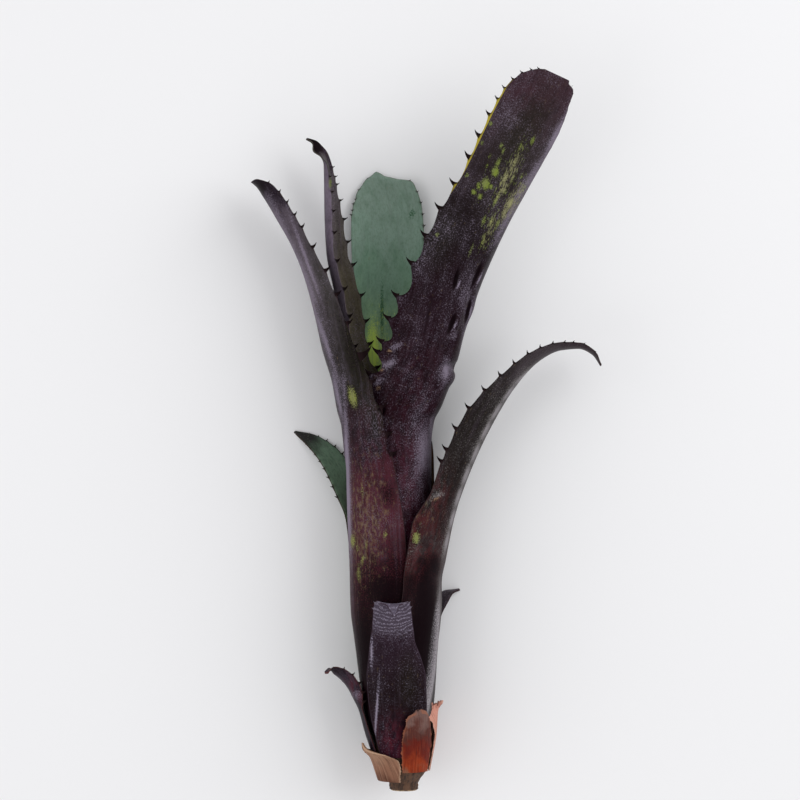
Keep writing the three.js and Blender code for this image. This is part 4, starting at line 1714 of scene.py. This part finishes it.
def right_broad_leaf() -> Leaf:
    """The broad dark leaf that leans right and ends in a round tip.

    Returns:
        The leaf with its finish, marks and stations.
    """
    finish = LeafFinish(
        name="leaf_right_broad",
        outer=shades(
            (0, 22, 8, 14), (0.3, 40, 12, 22), (0.42, 40, 12, 22), (0.5, 26, 7, 14), (0.66, 28, 12, 19),
            (0.78, 27, 19, 22), (0.92, 50, 40, 44), (1, 58, 40, 47),
        ),
        inner=shades((0, 52, 44, 34), (0.6, 58, 62, 44), (1, 66, 68, 60)),
        streak_share=0.1, scurf_share=0.5, red=hue(64, 24, 38), seed=3,
    )
    marks = {
        Mark.LIME: (
            Spot(495.2, 171.8, 4.4, 3.2, 0, 1.2), Spot(485.8, 183.9, 5, 3.6, 0, 1.2),
            Spot(491, 186.6, 2.4, 2.0), Spot(478.4, 185.9, 3.4, 1.8, 0, 0.9), Spot(473.7, 191.9, 2.6, 2.2),
            Spot(479.8, 196.6, 2.8, 2.2), Spot(501.2, 145.7, 3.2, 1.6, 24, 0.8),
            Spot(503.2, 151, 4, 1.5, 24, 0.7), Spot(497.9, 163.1, 6, 1.8, 24, 0.85),
            Spot(505.2, 177.9, 6, 2.2, 24, 0.9), Spot(512.6, 177.9, 5.4, 1.4, 24, 0.75),
            Spot(515.3, 161.8, 8, 1.4, 24, 0.7), Spot(520, 147, 6, 1.3, 24, 0.65),
            Spot(532.7, 140.4, 4.4, 1.8, 24, 0.8), Spot(521.3, 176.5, 3, 2, 24, 0.6),
            Spot(503.2, 190.6, 3.4, 2.8, 24, 0.85), Spot(496.5, 199.3, 8, 1.7, 24, 0.8),
            Spot(509.9, 203.3, 5.2, 2.8, 24), Spot(504.5, 212.7, 6, 2, 24, 0.85),
            Spot(491.2, 220.7, 5.4, 2, 22, 0.75), Spot(483.8, 220.7, 5.4, 2, 22, 0.7),
            Spot(497.9, 223.4, 4.2, 1.9, 22, 0.75), Spot(483.1, 240.8, 7, 1.6, 20, 0.65),
            Spot(471, 250.2, 8, 1.3, 20, 0.6), Spot(490.5, 123.6, 2.6, 2.2, 24, 0.8),
            Spot(481.8, 143, 2.6, 1.8, 24, 0.6), Spot(467, 175.2, 2.2, 1.8, 24, 0.8),
            Spot(489.8, 156.4, 3, 1.6, 24, 0.5), Spot(487, 165.8, 3, 1.6, 24, 0.5),
            Spot(523.3, 188.6, 6, 2, 26, 0.55), Spot(436.9, 234.8, 2.4, 1.6, 24, 0.9),
        ),
        Mark.LIME_ZONE: (
            Spot(509, 174, 44, 9, 27, 1.2), Spot(512, 202, 34, 9, 30, 1.25), Spot(490, 230, 30, 8, 22, 1.1),
            Spot(484, 184, 24, 8, 24, 0.85),
        ),
        Mark.LIME_RIM: (Spot(480, 138, 54, 12, 27), Spot(434, 240, 10, 6, 24, 0.6)),
        # Scurf, with painted sheen along the right edge and lower right side, and painted highlights on the
        # bulge, the lower edges of the dents and the ridges by the low margin
        Mark.SILVER: (
            Spot(508, 114, 16, 11, 20, 0.5), Spot(557, 134, 34, 4.6, 29, 1.18),
            Spot(531, 177, 30, 4.2, 33, 1.12), Spot(507, 220, 28, 3.6, 30, 1.1),
            Spot(424, 452, 30, 11, 0, 1.22), Spot(432, 432, 16, 4, 4, 1.2),
            Spot(447, 440, 50, 3.4, 4, 1.25), Spot(464, 345, 40, 4, 12, 0.8),
            Spot(440, 232, 26, 10, 24, 0.2), Spot(458.8, 284, 5, 0.9, 20, 1.5),
            Spot(479.4, 279, 9, 0.8, 25, 1.5), Spot(470.6, 312, 8, 0.8, 13, 1.5),
            Spot(454.8, 326, 6, 0.9, 26, 1.55), Spot(466, 296, 34, 6, 14, 0.45), Spot(454, 335, 5, 3, 30),
            Spot(446, 370, 12, 6, 10, 1.25), Spot(421, 268, 14, 8, 0, 0.45),
            Spot(396.5, 346, 3, 6, -25, 1.1), Spot(390, 363.5, 3, 8, -30, 1.1),
            Spot(379, 381, 3, 6, -30, 0.9),
        ),
        # The first four dark marks are painted shade in the slots of the dents
        Mark.DARK: (
            Spot(455.8, 279, 8, 1.3, 14, 2.0), Spot(476.4, 275.5, 10, 1.1, 23, 2.0),
            Spot(467.9, 311, 9, 1.2, 13, 2.0), Spot(451.8, 323.4, 8, 1.4, 22, 2.0),
            Spot(428, 315, 26, 1.5, 12, 0.5), *BOUNDARY_HOOKS_AND_SHADOWS,
        ),
        Mark.OLIVE_ZONE: (Spot(516, 150, 60, 18, 27, 0.7), Spot(440, 235, 30, 16, 20, 0.4)),
        Mark.RED_ZONE: (
            Spot(404, 495, 60, 22), Spot(415, 400, 60, 30, 0, 0.35), Spot(530, 95, 16, 16, 0, 0.3),
        ),
        Mark.TAN: (
            Spot(389.5, 351, 2.2, 2.2, 0, 0.7), Spot(381.6, 370, 2.2, 2.2, 0, 0.6),
            Spot(378, 388, 2.6, 2.6, 0, 0.6),
        ),
    }
    dents = (
        Spot(455.8, 279, 10, 2.0, 14, 1.2), Spot(476.4, 275.5, 13, 1.8, 23, 1.2),
        Spot(467.9, 311, 11, 1.9, 13, 1.2), Spot(451.8, 323.4, 10, 2.1, 22, 1.2),
        Spot(459.6, 282, 10, 2.2, 14, -0.6), Spot(471.6, 313, 11, 2.2, 13, -0.6),
        Spot(456, 326, 10, 2.2, 22, -0.6), Spot(451, 367, 4, 9, 0, 1.6), Spot(451, 378, 6, 9, 0, -1.0),
        Spot(397, 346, 4, 9, -25, -0.8), Spot(391, 364, 4, 10, -30, -0.9), Spot(381, 381, 4, 9, -30, -0.8),
        Spot(396, 355, 3.4, 9, -28, 0.6), Spot(387, 373, 3.4, 9, -30, 0.6), Spot(430, 315, 30, 4, 12, 0.35),
    )
    return Leaf(
        name="leaf_right_broad", finish=finish, layer=3, midrib=55, foot=27, leaves=139, columns=96,
        wrap=[(27, -70, 185), (120, -65, 165), (139, -60, 154)],
        blade=[
            (8.4, 148, 32.8, 55, 16.4, 32, 27), (12.0, 156, 33, 56, 16.4, 26.6, 25.4),
            (15.2, 164, 33.2, 56, 16.3, 25.4, 25.6), (17.4, 172, 33.5, 57, 16, 23.6, 24),
            (20.6, 184, 34, 58, 15.5, 21.6, 23.8), (26.8, 202, 35.4, 60, 15, 20.4, 21.8),
            (33.4, 218, 37.6, 62, 15, 19.4, 20), (42.8, 240, 41.4, 66, 17, 18.8, 18.6),
            (51.6, 260, 45, 70, 20, 17.6, 17.6), (57.2, 272, 47, 72, 23, 14.0, 16.2),
            (58.8, 275.4, 47.5, 73, 24, 12.4, 14.7), (60.4, 279, 48, 74, 25, 11.6, 12.5),
            (61.6, 281.8, 48.4, 75, 25, 9.4, 8.4), (62.3, 283.3, 48.6, 75, 25, 6.8, 4.6),
        ],
        spines=SpineRule(first=1.6, pitch=2.8, widest=11.8, grows=44, length=3.3, scallop=3.6, stop=124),
        places={
            Side.HIGH: (
                0.9, 2.2, 4.6, 8.6, 13.3, 18.3, 25, 34, 43.2, 55.2, 66, 78.2, 89.5, 102.7, 111,
                120.2, 124.5, 136, 148,
            ),
        },
        low_spines=0.35, nick=(1.4, 1.7), flare=(3.2, 120, 222),
        looks=Looks(seed=13, marks=marks, dents=dents),
    )


def left_outer_leaf() -> Leaf:
    """The dark leaf on the left with a long point, which wraps the front of the tube.

    Returns:
        The leaf with its finish, marks and stations.
    """
    finish = LeafFinish(
        name="leaf_left_outer",
        outer=shades(
            (0, 20, 6, 10), (0.2, 30, 10, 14), (0.3, 56, 22, 28), (0.44, 68, 33, 39), (0.55, 34, 20, 26),
            (0.63, 30, 26, 24), (0.74, 60, 54, 56), (0.84, 96, 88, 95), (0.95, 82, 73, 82),
            (1, 28, 18, 28),
        ),
        # The middle of the inner skin is painted lighter, as painted light on the back margin that lies in
        # shade
        inner=shades(
            (0, 52, 44, 36), (0.5, 150, 84, 66), (0.62, 66, 58, 44), (0.9, 70, 66, 58), (1, 38, 28, 34),
        ),
        streak_share=0.2, scurf_share=0.36, lime=hue(136, 142, 70), red=hue(74, 30, 44), seed=4,
    )
    marks = {
        Mark.LIME: (
            Spot(352.5, 397, 9.5, 3.6, -14), Spot(385.3, 534.3, 2.4, 1.8),
            Spot(363.6, 557.6, 2.8, 1.6, 0, 0.9), Spot(362, 562.5, 2.6, 1.4, 0, 0.8),
            Spot(352.8, 540.8, 6.4, 2.6, 0, 0.8), Spot(358.7, 573.3, 8, 1.8, 0, 0.65),
            Spot(365.8, 545.2, 4.2, 1.5, 0, 0.7), Spot(357.6, 548.4, 3, 1.6, 0, 0.7),
            Spot(362.5, 491, 7, 1.4, 0, 0.5),
        ),
        Mark.TAN_ZONE: (Spot(366, 528, 66, 20), Spot(384, 512, 20, 8, 0, 0.8)),
        Mark.RED_ZONE: (Spot(372, 506, 78, 28),),
        Mark.OLIVE_ZONE: (
            Spot(356, 352, 46, 14, -15), Spot(324, 282, 62, 6.5, -21, 0.8),
            Spot(376, 404, 34, 10, -10, 0.6),
        ),
        # A lighter tan strip on the back margin, painted light where it lies in shade
        Mark.TAN: (Spot(433.5, 458, 38, 3.4, 4, 1.2),),
        Mark.DARK: (
            Spot(388, 494, 15, 8, 0, 0.55), Spot(374, 572, 22, 26, 0, 0.5), Spot(388, 592, 22, 30, 0, 0.95),
            Spot(366, 645, 62, 12, 0, 0.85), Spot(394, 610, 60, 18, 0, 0.8), Spot(260, 186, 8, 8, 0, 0.8),
            Spot(352, 346, 46, 12, -16, 0.5),
            *BOUNDARY_HOOKS_AND_SHADOWS,
        ),
        # Scurf, with painted highlights in long bands down the left of the channel
        Mark.SILVER: (
            Spot(362, 421, 10, 12, 0, 0.3), Spot(292, 250, 75, 4, -24, 1.1),
            Spot(347.6, 480, 90, 2.8, -2, 1.5), Spot(338, 398, 34, 3, -12, 1.2),
            Spot(376, 446, 16, 12, 0, 0.25), Spot(325, 340, 44, 3, -18, 1.2),
            Spot(307, 262, 46, 1.8, -20, 1.25), Spot(386, 560, 12, 8, 0, 0.3),
        ),
    }
    return Leaf(
        name="leaf_left_outer", finish=finish, layer=2, midrib=180, foot=23, leaves=127, columns=84,
        wrap=[(23, 70, 350), (104, 73, 352), (117, 78, 351), (127, 83, 351)],
        blade=[
            (-21.0, 137, 19.4, 180, 18.5, 29, 51), (-21.9, 145.6, 19.8, 180, 19.3, 28.6, 38),
            (-23.6, 152, 19.8, 180, 18.6, 27.6, 28), (-25.7, 163, 19.6, 180, 16.6, 24.6, 21.6),
            (-29.2, 175, 20, 180, 15.5, 22.2, 17.4), (-32.6, 190, 20.4, 180, 14, 19.2, 15.2),
            (-36.6, 204.4, 20.8, 180, 12.5, 16.2, 13.4), (-42.0, 218, 21.2, 180, 11.5, 13.6, 11.6),
            (-48.4, 229.3, 21.4, 178, 12, 13.4, 11.2), (-53.0, 237, 21.2, 176, 13, 12.4, 10.8),
            (-56.0, 241.4, 20.8, 176, 14, 7.6, 7.6), (-58.0, 243, 20.4, 176, 14, 0.4, 0.4),
        ],
        spines=SpineRule(first=8, pitch=4.6, widest=12, grows=50, length=2.8, scallop=1.7, stop=118),
        places={Side.LOW: (5.5, 10.4, 15.2, 20.9, 26.2, 34.4, 44.2, 54, 65.5, 80.4, 90.4, 102.2, 108.7,
        116.4)},
        high_spines=0.7, hook=(80.4, 1.9),
        looks=Looks(seed=14, marks=marks),
    )


def right_arching_leaf() -> Leaf:
    """The dark leaf on the right that arches over to a drooping point.

    Returns:
        The leaf with its finish, marks and stations.
    """
    finish = LeafFinish(
        name="leaf_right_arching",
        outer=shades(
            (0, 12, 3, 6), (0.25, 16, 5, 9), (0.34, 32, 14, 18), (0.46, 44, 24, 25), (0.56, 28, 22, 21),
            (0.78, 32, 28, 27), (0.9, 64, 57, 61), (1, 42, 26, 36),
        ),
        inner=shades((0, 60, 44, 38), (0.5, 56, 50, 40), (1, 60, 58, 52)),
        # A lighter colour for its painted highlights
        scurf=hue(116, 112, 112), painted_sheen=hue(158, 152, 158), streak_share=0.1, scurf_share=0.36,
        red=hue(82, 32, 36), lime=hue(128, 136, 70), seed=5,
    )
    # Painted highlights along the right edge, from the foot of the blade up to the arch
    painted_highlight_edge = (
        (446.8, 541, 2.6, 12), (452.2, 519, 2.8, 15), (458.4, 497, 3, 18), (466.2, 475, 3, 20),
        (475.4, 453, 3, 23),
        (485.8, 431, 3, 27), (496.8, 411, 3, 31), (508.8, 393, 3, 37), (522, 377.6, 3, 46),
    )
    marks = {
        Mark.LIME: (Spot(416.2, 538, 5.6, 3.2),),
        Mark.RED_ZONE: (Spot(424, 505, 30, 18, 20), Spot(420, 542, 34, 15, 6)),
        Mark.DARK: (
            Spot(423, 632, 74, 12, 4, 1.1), Spot(434, 566, 14, 6, 0, 0.9), Spot(412, 588, 18, 12, 0, 0.6),
        ),
        # Scurf, with the painted highlight band along the lower right edge
        Mark.SILVER: (
            Spot(432.4, 658, 62, 4.6, 6, 2.2), Spot(439, 600, 30, 2.2, 5, 1.2),
            Spot(424, 546, 14, 12, 0, 0.5), Spot(439, 495, 3, 7, -24, 1.1),
            *(Spot(right, down, 18, width, tilt, 1.3) for right, down, width, tilt in painted_highlight_edge),
        ),
        Mark.TAN: (Spot(436, 499, 1.6, 4, -30, 0.7),),
        Mark.TAN_ZONE: (Spot(422, 512, 22, 12, 20, 0.5),),
    }
    return Leaf(
        name="leaf_right_arching", finish=finish, layer=1, midrib=0, foot=19, leaves=83, columns=76,
        wrap=[(19, -115, 98), (60, -115, 92), (75, -114, 82), (83, -109, 79)],
        blade=[
            (20.0, 92.4, 19.4, 0, 19.3, 27.4, 27), (22.3, 104, 19.8, 0, 19, 23.4, 27),
            (24.0, 111, 20, 0, 18.2, 21.2, 24.4), (25.6, 116.4, 20.2, 0, 17.2, 19, 22),
            (30.2, 128.5, 20.8, 0, 14.6, 15.2, 20.8), (38.3, 145.7, 21.6, 0, 12.4, 13.4, 19.2),
            (47.4, 160.8, 22.2, 0, 12, 11.2, 14.8), (58.0, 172, 22.6, 0, 12.6, 9, 11.4),
            (66.0, 175.8, 22.6, 0, 13.4, 7, 9.2), (73.0, 176.4, 22.2, 0, 13.6, 5.8, 7.6),
            (78.4, 174, 21.6, 0, 13.6, 4.6, 5.4), (81.6, 169.6, 20.8, 0, 13.6, 1.2, 1.4),
        ],
        spines=SpineRule(first=9, pitch=3.8, widest=10.2, grows=75, length=2.7, scallop=1.7, stop=112),
        places={Side.HIGH: (6.4, 10.6, 14.4, 17.4, 21.1, 25.4, 30.1, 35.6, 42.1, 49.6, 58.1, 67.1, 75.6,
        80.4)},
        low_spines=0.7, looks=Looks(seed=15, marks=marks, dents=(Spot(437.5, 498, 2.4, 7, -30, -0.5),)),
    )


def back_left_leaf() -> Leaf:
    """The green leaf at the back left with a dark point.

    Returns:
        The leaf with its finish, marks and stations.
    """
    finish = LeafFinish(
        name="leaf_back_left",
        outer=shades((0, 60, 62, 44), (0.5, 66, 72, 50), (0.9, 78, 88, 72), (1, 44, 42, 40)),
        inner=shades((0, 72, 80, 60), (0.55, 92, 110, 82), (0.9, 102, 126, 106), (1, 44, 42, 42)),
        scurf=hue(120, 126, 116), margin=hue(60, 50, 44), spine=hue(44, 40, 34), deep=hue(34, 44, 32),
        streak_share=0.2, scurf_share=0.12, roughness=0.48, seed=6,
    )
    return Leaf(
        name="leaf_back_left", finish=finish, layer=1, midrib=219, foot=19, leaves=92, columns=34,
        wrap=[(19, 202, 240), (92, 202, 240)],
        blade=[
            (-17.6, 108, 6.6, 224, 19, 4.6, 7.6), (-21.8, 120, 6.0, 240, 20, 4.2, 8),
            (-27.4, 131, 4.2, 250, 20, 3.6, 6.8), (-34.4, 138.8, 1.6, 262, 20, 2.6, 3.8),
            (-41.4, 143, 0.1, 268, 20, 0.4, 0.4),
        ],
        spines=SpineRule(first=4, pitch=3, widest=4.4, grows=30, length=1.7, scallop=0.5, stop=98),
        looks=Looks(seed=16, ripple=0.03),
    )


def back_right_stub_leaf() -> Leaf:
    """The short purple leaf tip at the back right.

    Returns:
        The leaf with its finish, marks and stations.
    """
    finish = LeafFinish(
        name="leaf_back_right_stub",
        outer=shades((0, 46, 28, 36), (0.7, 66, 54, 64), (0.92, 76, 68, 76), (1, 40, 28, 34)),
        inner=shades((0, 56, 46, 48), (1, 72, 64, 70)),
        margin=hue(50, 36, 40), seed=7,
    )
    return Leaf(
        name="leaf_back_right_stub", finish=finish, layer=0, midrib=312, foot=14, leaves=60, columns=30,
        wrap=[(14, 288, 334), (60, 296, 330)], row_step=0.3,
        blade=[
            (14.8, 68, 4.8, 312, 18, 4.8, 4.8), (18.0, 74, 4.0, 308, 16, 4, 4),
            (21.6, 77.6, 2.4, 304, 12, 2.6, 2.6), (25.9, 78.6, 0.25, 300, 12, 0.4, 0.4),
        ],
        spines=SpineRule(first=4, pitch=3, widest=4, grows=30, length=0.9, scallop=0.3, stop=56),
        looks=Looks(seed=17, ripple=0.03),
    )


def front_short_leaf() -> Leaf:
    """The short broad leaf at the front with its point curled back.

    Returns:
        The leaf with its finish, marks and stations.
    """
    finish = LeafFinish(
        name="leaf_front_short",
        outer=shades(
            (0, 56, 20, 36), (0.15, 34, 14, 24), (0.4, 26, 14, 18), (0.75, 40, 26, 36), (1, 70, 60, 74),
        ),
        inner=shades((0, 60, 46, 54), (0.8, 62, 52, 64), (1, 72, 64, 78)),
        scurf=hue(142, 134, 152), margin=hue(58, 46, 56), streak_share=0.1, scurf_share=0.16, bands=0.75,
        spine=hue(116, 108, 122), seed=8,
    )
    marks = {
        # Scurf at the top, and painted highlights on the ridge and along the left edge lower down
        Mark.SILVER: (
            Spot(395, 614, 18, 26, 0, 0.95), Spot(376.5, 712, 26, 1.0, 4, 1.9),
            Spot(371.5, 652, 14, 1.4, 0, 1.5),
        ),
        Mark.RED_ZONE: (Spot(396, 738, 18, 18),),
        Mark.OLIVE_ZONE: (Spot(408, 680, 26, 9, 0, 0.4),),
        Mark.DARK: (Spot(402, 715, 26, 14, 0, 0.25),),
    }
    return Leaf(
        name="leaf_front_short", finish=finish, layer=0, midrib=90, foot=14, leaves=62, columns=44,
        wrap=[(14, 34, 134), (32, 42, 134), (46, 47, 131), (56, 58, 124), (62, 66, 120)],
        row_step=0.25, tube_row_step=0.8, ramp=4,
        blade=[
            (-1.2, 69, 39.5, 90, 19, 7.9, 8.3), (-1.2, 73, 40.1, 90, 18, 7.4, 8.0),
            (-1.1, 75.2, 41.6, 90, 16, 6.6, 7.0), (-1.0, 75.2, 43.8, 90, 14, 3.0, 3.2),
            (-0.8, 73.4, 45.2, 90, 13, 1.5, 1.5), (-0.6, 71.2, 45.4, 90, 12, 0.3, 0.3),
        ],
        spines=SpineRule(first=5.6, pitch=1.1, widest=4.4, grows=30, length=1.7, scallop=0.4, stop=60),
        looks=Looks(seed=18, ripple=0.06, marks=marks),
    )


def base_left_leaf() -> Leaf:
    """The small curled leaf at the bottom left.

    Returns:
        The leaf with its finish, marks and stations.
    """
    finish = LeafFinish(
        name="leaf_base_left",
        outer=shades((0, 22, 12, 20), (0.5, 24, 17, 25), (0.8, 44, 34, 44), (1, 28, 18, 24)),
        inner=shades((0, 40, 28, 34), (1, 62, 52, 58)),
        margin=hue(86, 50, 50), scurf_share=0.25, seed=9,
    )
    marks = {
        Mark.RED_ZONE: (Spot(356, 688, 16, 6, -30),),
        Mark.SILVER: (Spot(357, 695, 5, 5, -30, 0.9),),
    }
    return Leaf(
        name="leaf_base_left", finish=finish, layer=0, midrib=180, foot=14, leaves=32, columns=34,
        wrap=[(14, 144, 232), (32, 152, 222)], row_step=0.3,
        blade=[
            (-17.4, 37, 19.4, 172, 14.6, 9.4, 9.0), (-19.6, 42.4, 19.8, 152, 12, 7.0, 6.8),
            (-22.8, 46.2, 20, 138, 9, 4.6, 4.8), (-26.0, 47.6, 20, 130, 7, 2.8, 2.8),
            (-28.4, 46.6, 19.8, 134, 7, 0.4, 0.4),
        ],
        spines=SpineRule(first=3.0, pitch=2.4, widest=4, grows=20, length=2.4, scallop=0.4, stop=20),
        looks=Looks(seed=19, ripple=0.03, marks=marks),
    )


def front_sheath() -> Leaf:
    """The rust-brown dry scale at the front of the base.

    Returns:
        The leaf with its finish, marks and stations.
    """
    finish = DryFinish(
        name="dry_sheath_front",
        outer=shades(
            (0, 124, 78, 58), (0.2, 138, 48, 14), (0.5, 96, 22, 8), (0.78, 84, 42, 34), (1, 112, 84, 78),
        ),
        roughness=0.6, seed=1, pale=hue(150, 92, 66), fibre=hue(44, 10, 8),
    )
    return Leaf(
        name="dry_sheath_front", finish=finish, layer=-1, midrib=56, foot=8, leaves=20, columns=44,
        wrap=[(8, 25, 91), (20, 28, 88)], row_step=0.3, tube_row_step=0.5, thickness=0.75,
        blade=[
            (9.2, 25, 34.3, 58, 15.4, 7.0, 6.6), (9.1, 29.6, 35.7, 60, 12, 6.2, 5.6),
            (8.9, 32.2, 36.4, 62, 10, 4.6, 4.0), (8.8, 33.4, 36.7, 62, 10, 1.6, 1.4),
        ],
        spines=TORN_EDGE, looks=Looks(seed=21, torn=0.7, ripple=0.12),
    )


def right_sheath() -> Leaf:
    """The tan curled dry scale at the right of the base.

    Returns:
        The leaf with its finish, marks and stations.
    """
    finish = DryFinish(
        name="dry_sheath_right",
        # Its own tan-pink, painted lighter as painted light in the shade where it lies
        outer=shades((0, 150, 106, 84), (0.5, 188, 132, 114), (1, 200, 140, 124)),
        roughness=0.82, seed=2, pale=hue(206, 168, 150), fibre=hue(96, 56, 44),
    )
    return Leaf(
        name="dry_sheath_right", finish=finish, layer=-1, midrib=-10, foot=8, leaves=22, columns=44,
        wrap=[(8, -48, 19), (22, -40, 20)], row_step=0.3, tube_row_step=0.5, thickness=0.75,
        blade=[
            (16.6, 28, 16.8, -2, 15, 8, 9.4), (16.8, 31.6, 18.8, 12, 13, 6.2, 10.8),
            (17.2, 34.2, 20.8, 30, 11, 4.6, 9.6), (17.6, 35.6, 22.0, 38, 11, 1.6, 5.6),
        ],
        spines=TORN_EDGE, looks=Looks(seed=22, torn=0.7, ripple=0.12),
    )


def sheath_collar() -> Leaf:
    """The torn tan collar of old leaf bases at the very bottom.

    Returns:
        The leaf with its finish, marks and stations.
    """
    finish = DryFinish(
        name="dry_sheath_collar",
        outer=shades((0, 96, 62, 48), (0.4, 138, 98, 78), (1, 164, 128, 104)),
        roughness=0.86, seed=3, pale=hue(196, 164, 138), fibre=hue(64, 36, 28),
    )
    return Leaf(
        name="dry_sheath_collar", finish=finish, layer=-1, midrib=168, foot=4, leaves=13, columns=90,
        wrap=[(4, 95, 300), (13, 95, 300)], row_step=0.2, tube_row_step=0.4, thickness=0.7,
        blade=[
            (-11.9, 15, 22, 168, 14.2, 14, 12), (-13.0, 17, 22.2, 168, 15.2, 4, 4.6),
            (-13.6, 18.8, 22.3, 168, 15.8, 0.8, 0.8),
        ],
        spines=TORN_EDGE, looks=Looks(seed=23, torn=0.5, ripple=0.12),
    )


@dataclass(frozen=True)
class Lamp:
    """A square soft light that faces the plant."""

    name: str
    place: Point
    size: float
    power: float

    def hang(self) -> None:
        """Adds the light to the scene."""
        light = bpy.data.lights.new(self.name, "AREA")
        light.size = self.size
        light.energy = self.power
        holder = bpy.data.objects.new(self.name, light)
        bpy.context.collection.objects.link(holder)
        holder.location = self.place
        holder.rotation_euler = Vector(self.place).to_track_quat("Z", "Y").to_euler()


@dataclass
class Studio:
    """The pale floor, the soft lights and the camera that looks straight down on the plant."""

    lens: float = 135.0
    clip: tuple[float, float] = (0.05, 20)
    floor_size: float = 6.0
    floor: Colour = hue(236, 236, 238)
    air: float = 0.68
    lamps: tuple[Lamp, ...] = (
        Lamp("key_light", (1.15, 0.5, 0.95), 1.4, 13),
        Lamp("side_light", (-1.15, -0.1, 0.8), 1.4, 6),
    )

    def lay_floor(self) -> None:
        """Adds the plain floor that the plant lies on."""
        deselect_all()
        bpy.ops.mesh.primitive_plane_add(size=self.floor_size)
        floor = bpy.context.object
        floor.name = "studio_floor"
        looks = {"Base Color": self.floor, "Roughness": 0.9, "Specular IOR Level": 0.1}
        floor.data.materials.append(Board("studio_floor").finish(looks))

    def light_all(self) -> None:
        """Lights the scene from all round, with the key light at the upper right."""
        world = bpy.data.worlds.new("studio_air")
        world.use_nodes = True
        air = world.node_tree.nodes["Background"].inputs
        air["Color"].default_value = (1, 1, 1, 1)
        air["Strength"].default_value = self.air
        bpy.context.scene.world = world
        for lamp in self.lamps:
            lamp.hang()

    def set_camera(self) -> None:
        """Points the camera straight down, with the leaf tips at the top of the picture."""
        camera = bpy.data.cameras.new("camera")
        camera.lens = self.lens
        camera.clip_start, camera.clip_end = self.clip
        holder = bpy.data.objects.new("camera", camera)
        bpy.context.collection.objects.link(holder)
        holder.location = plant_to_part(np.array([*CAMERA_AIM, CAMERA_HEIGHT]))
        bpy.context.scene.camera = holder

    def build(self) -> None:
        """Sets up the floor, the lights and the camera."""
        self.lay_floor()
        self.light_all()
        self.set_camera()
        bpy.context.scene.view_settings.view_transform = "Standard"


def report(piece: bpy.types.Object) -> None:
    """Logs a finished piece with its number of triangles."""
    count = sum(len(face.vertices) - 2 for face in piece.data.polygons)
    LOG.info("%s: %d triangles", piece.name, count)


def main() -> None:
    """Builds the studio and every piece of the plant in order."""
    logging.basicConfig(level=logging.INFO, format="%(name)s: %(message)s")
    Studio().build()
    horn = spine_horn()
    leaves = (
        left_inner_leaf(), back_green_leaf(), right_broad_leaf(), left_outer_leaf(), right_arching_leaf(),
        back_left_leaf(), back_right_stub_leaf(), front_short_leaf(), base_left_leaf(),
        front_sheath(), right_sheath(), sheath_collar(),
    )
    for leaf in leaves:
        report(leaf.build(horn))
    report(Stem().build())
    bpy.data.objects.remove(horn)


if __name__ == "__main__":
    main()
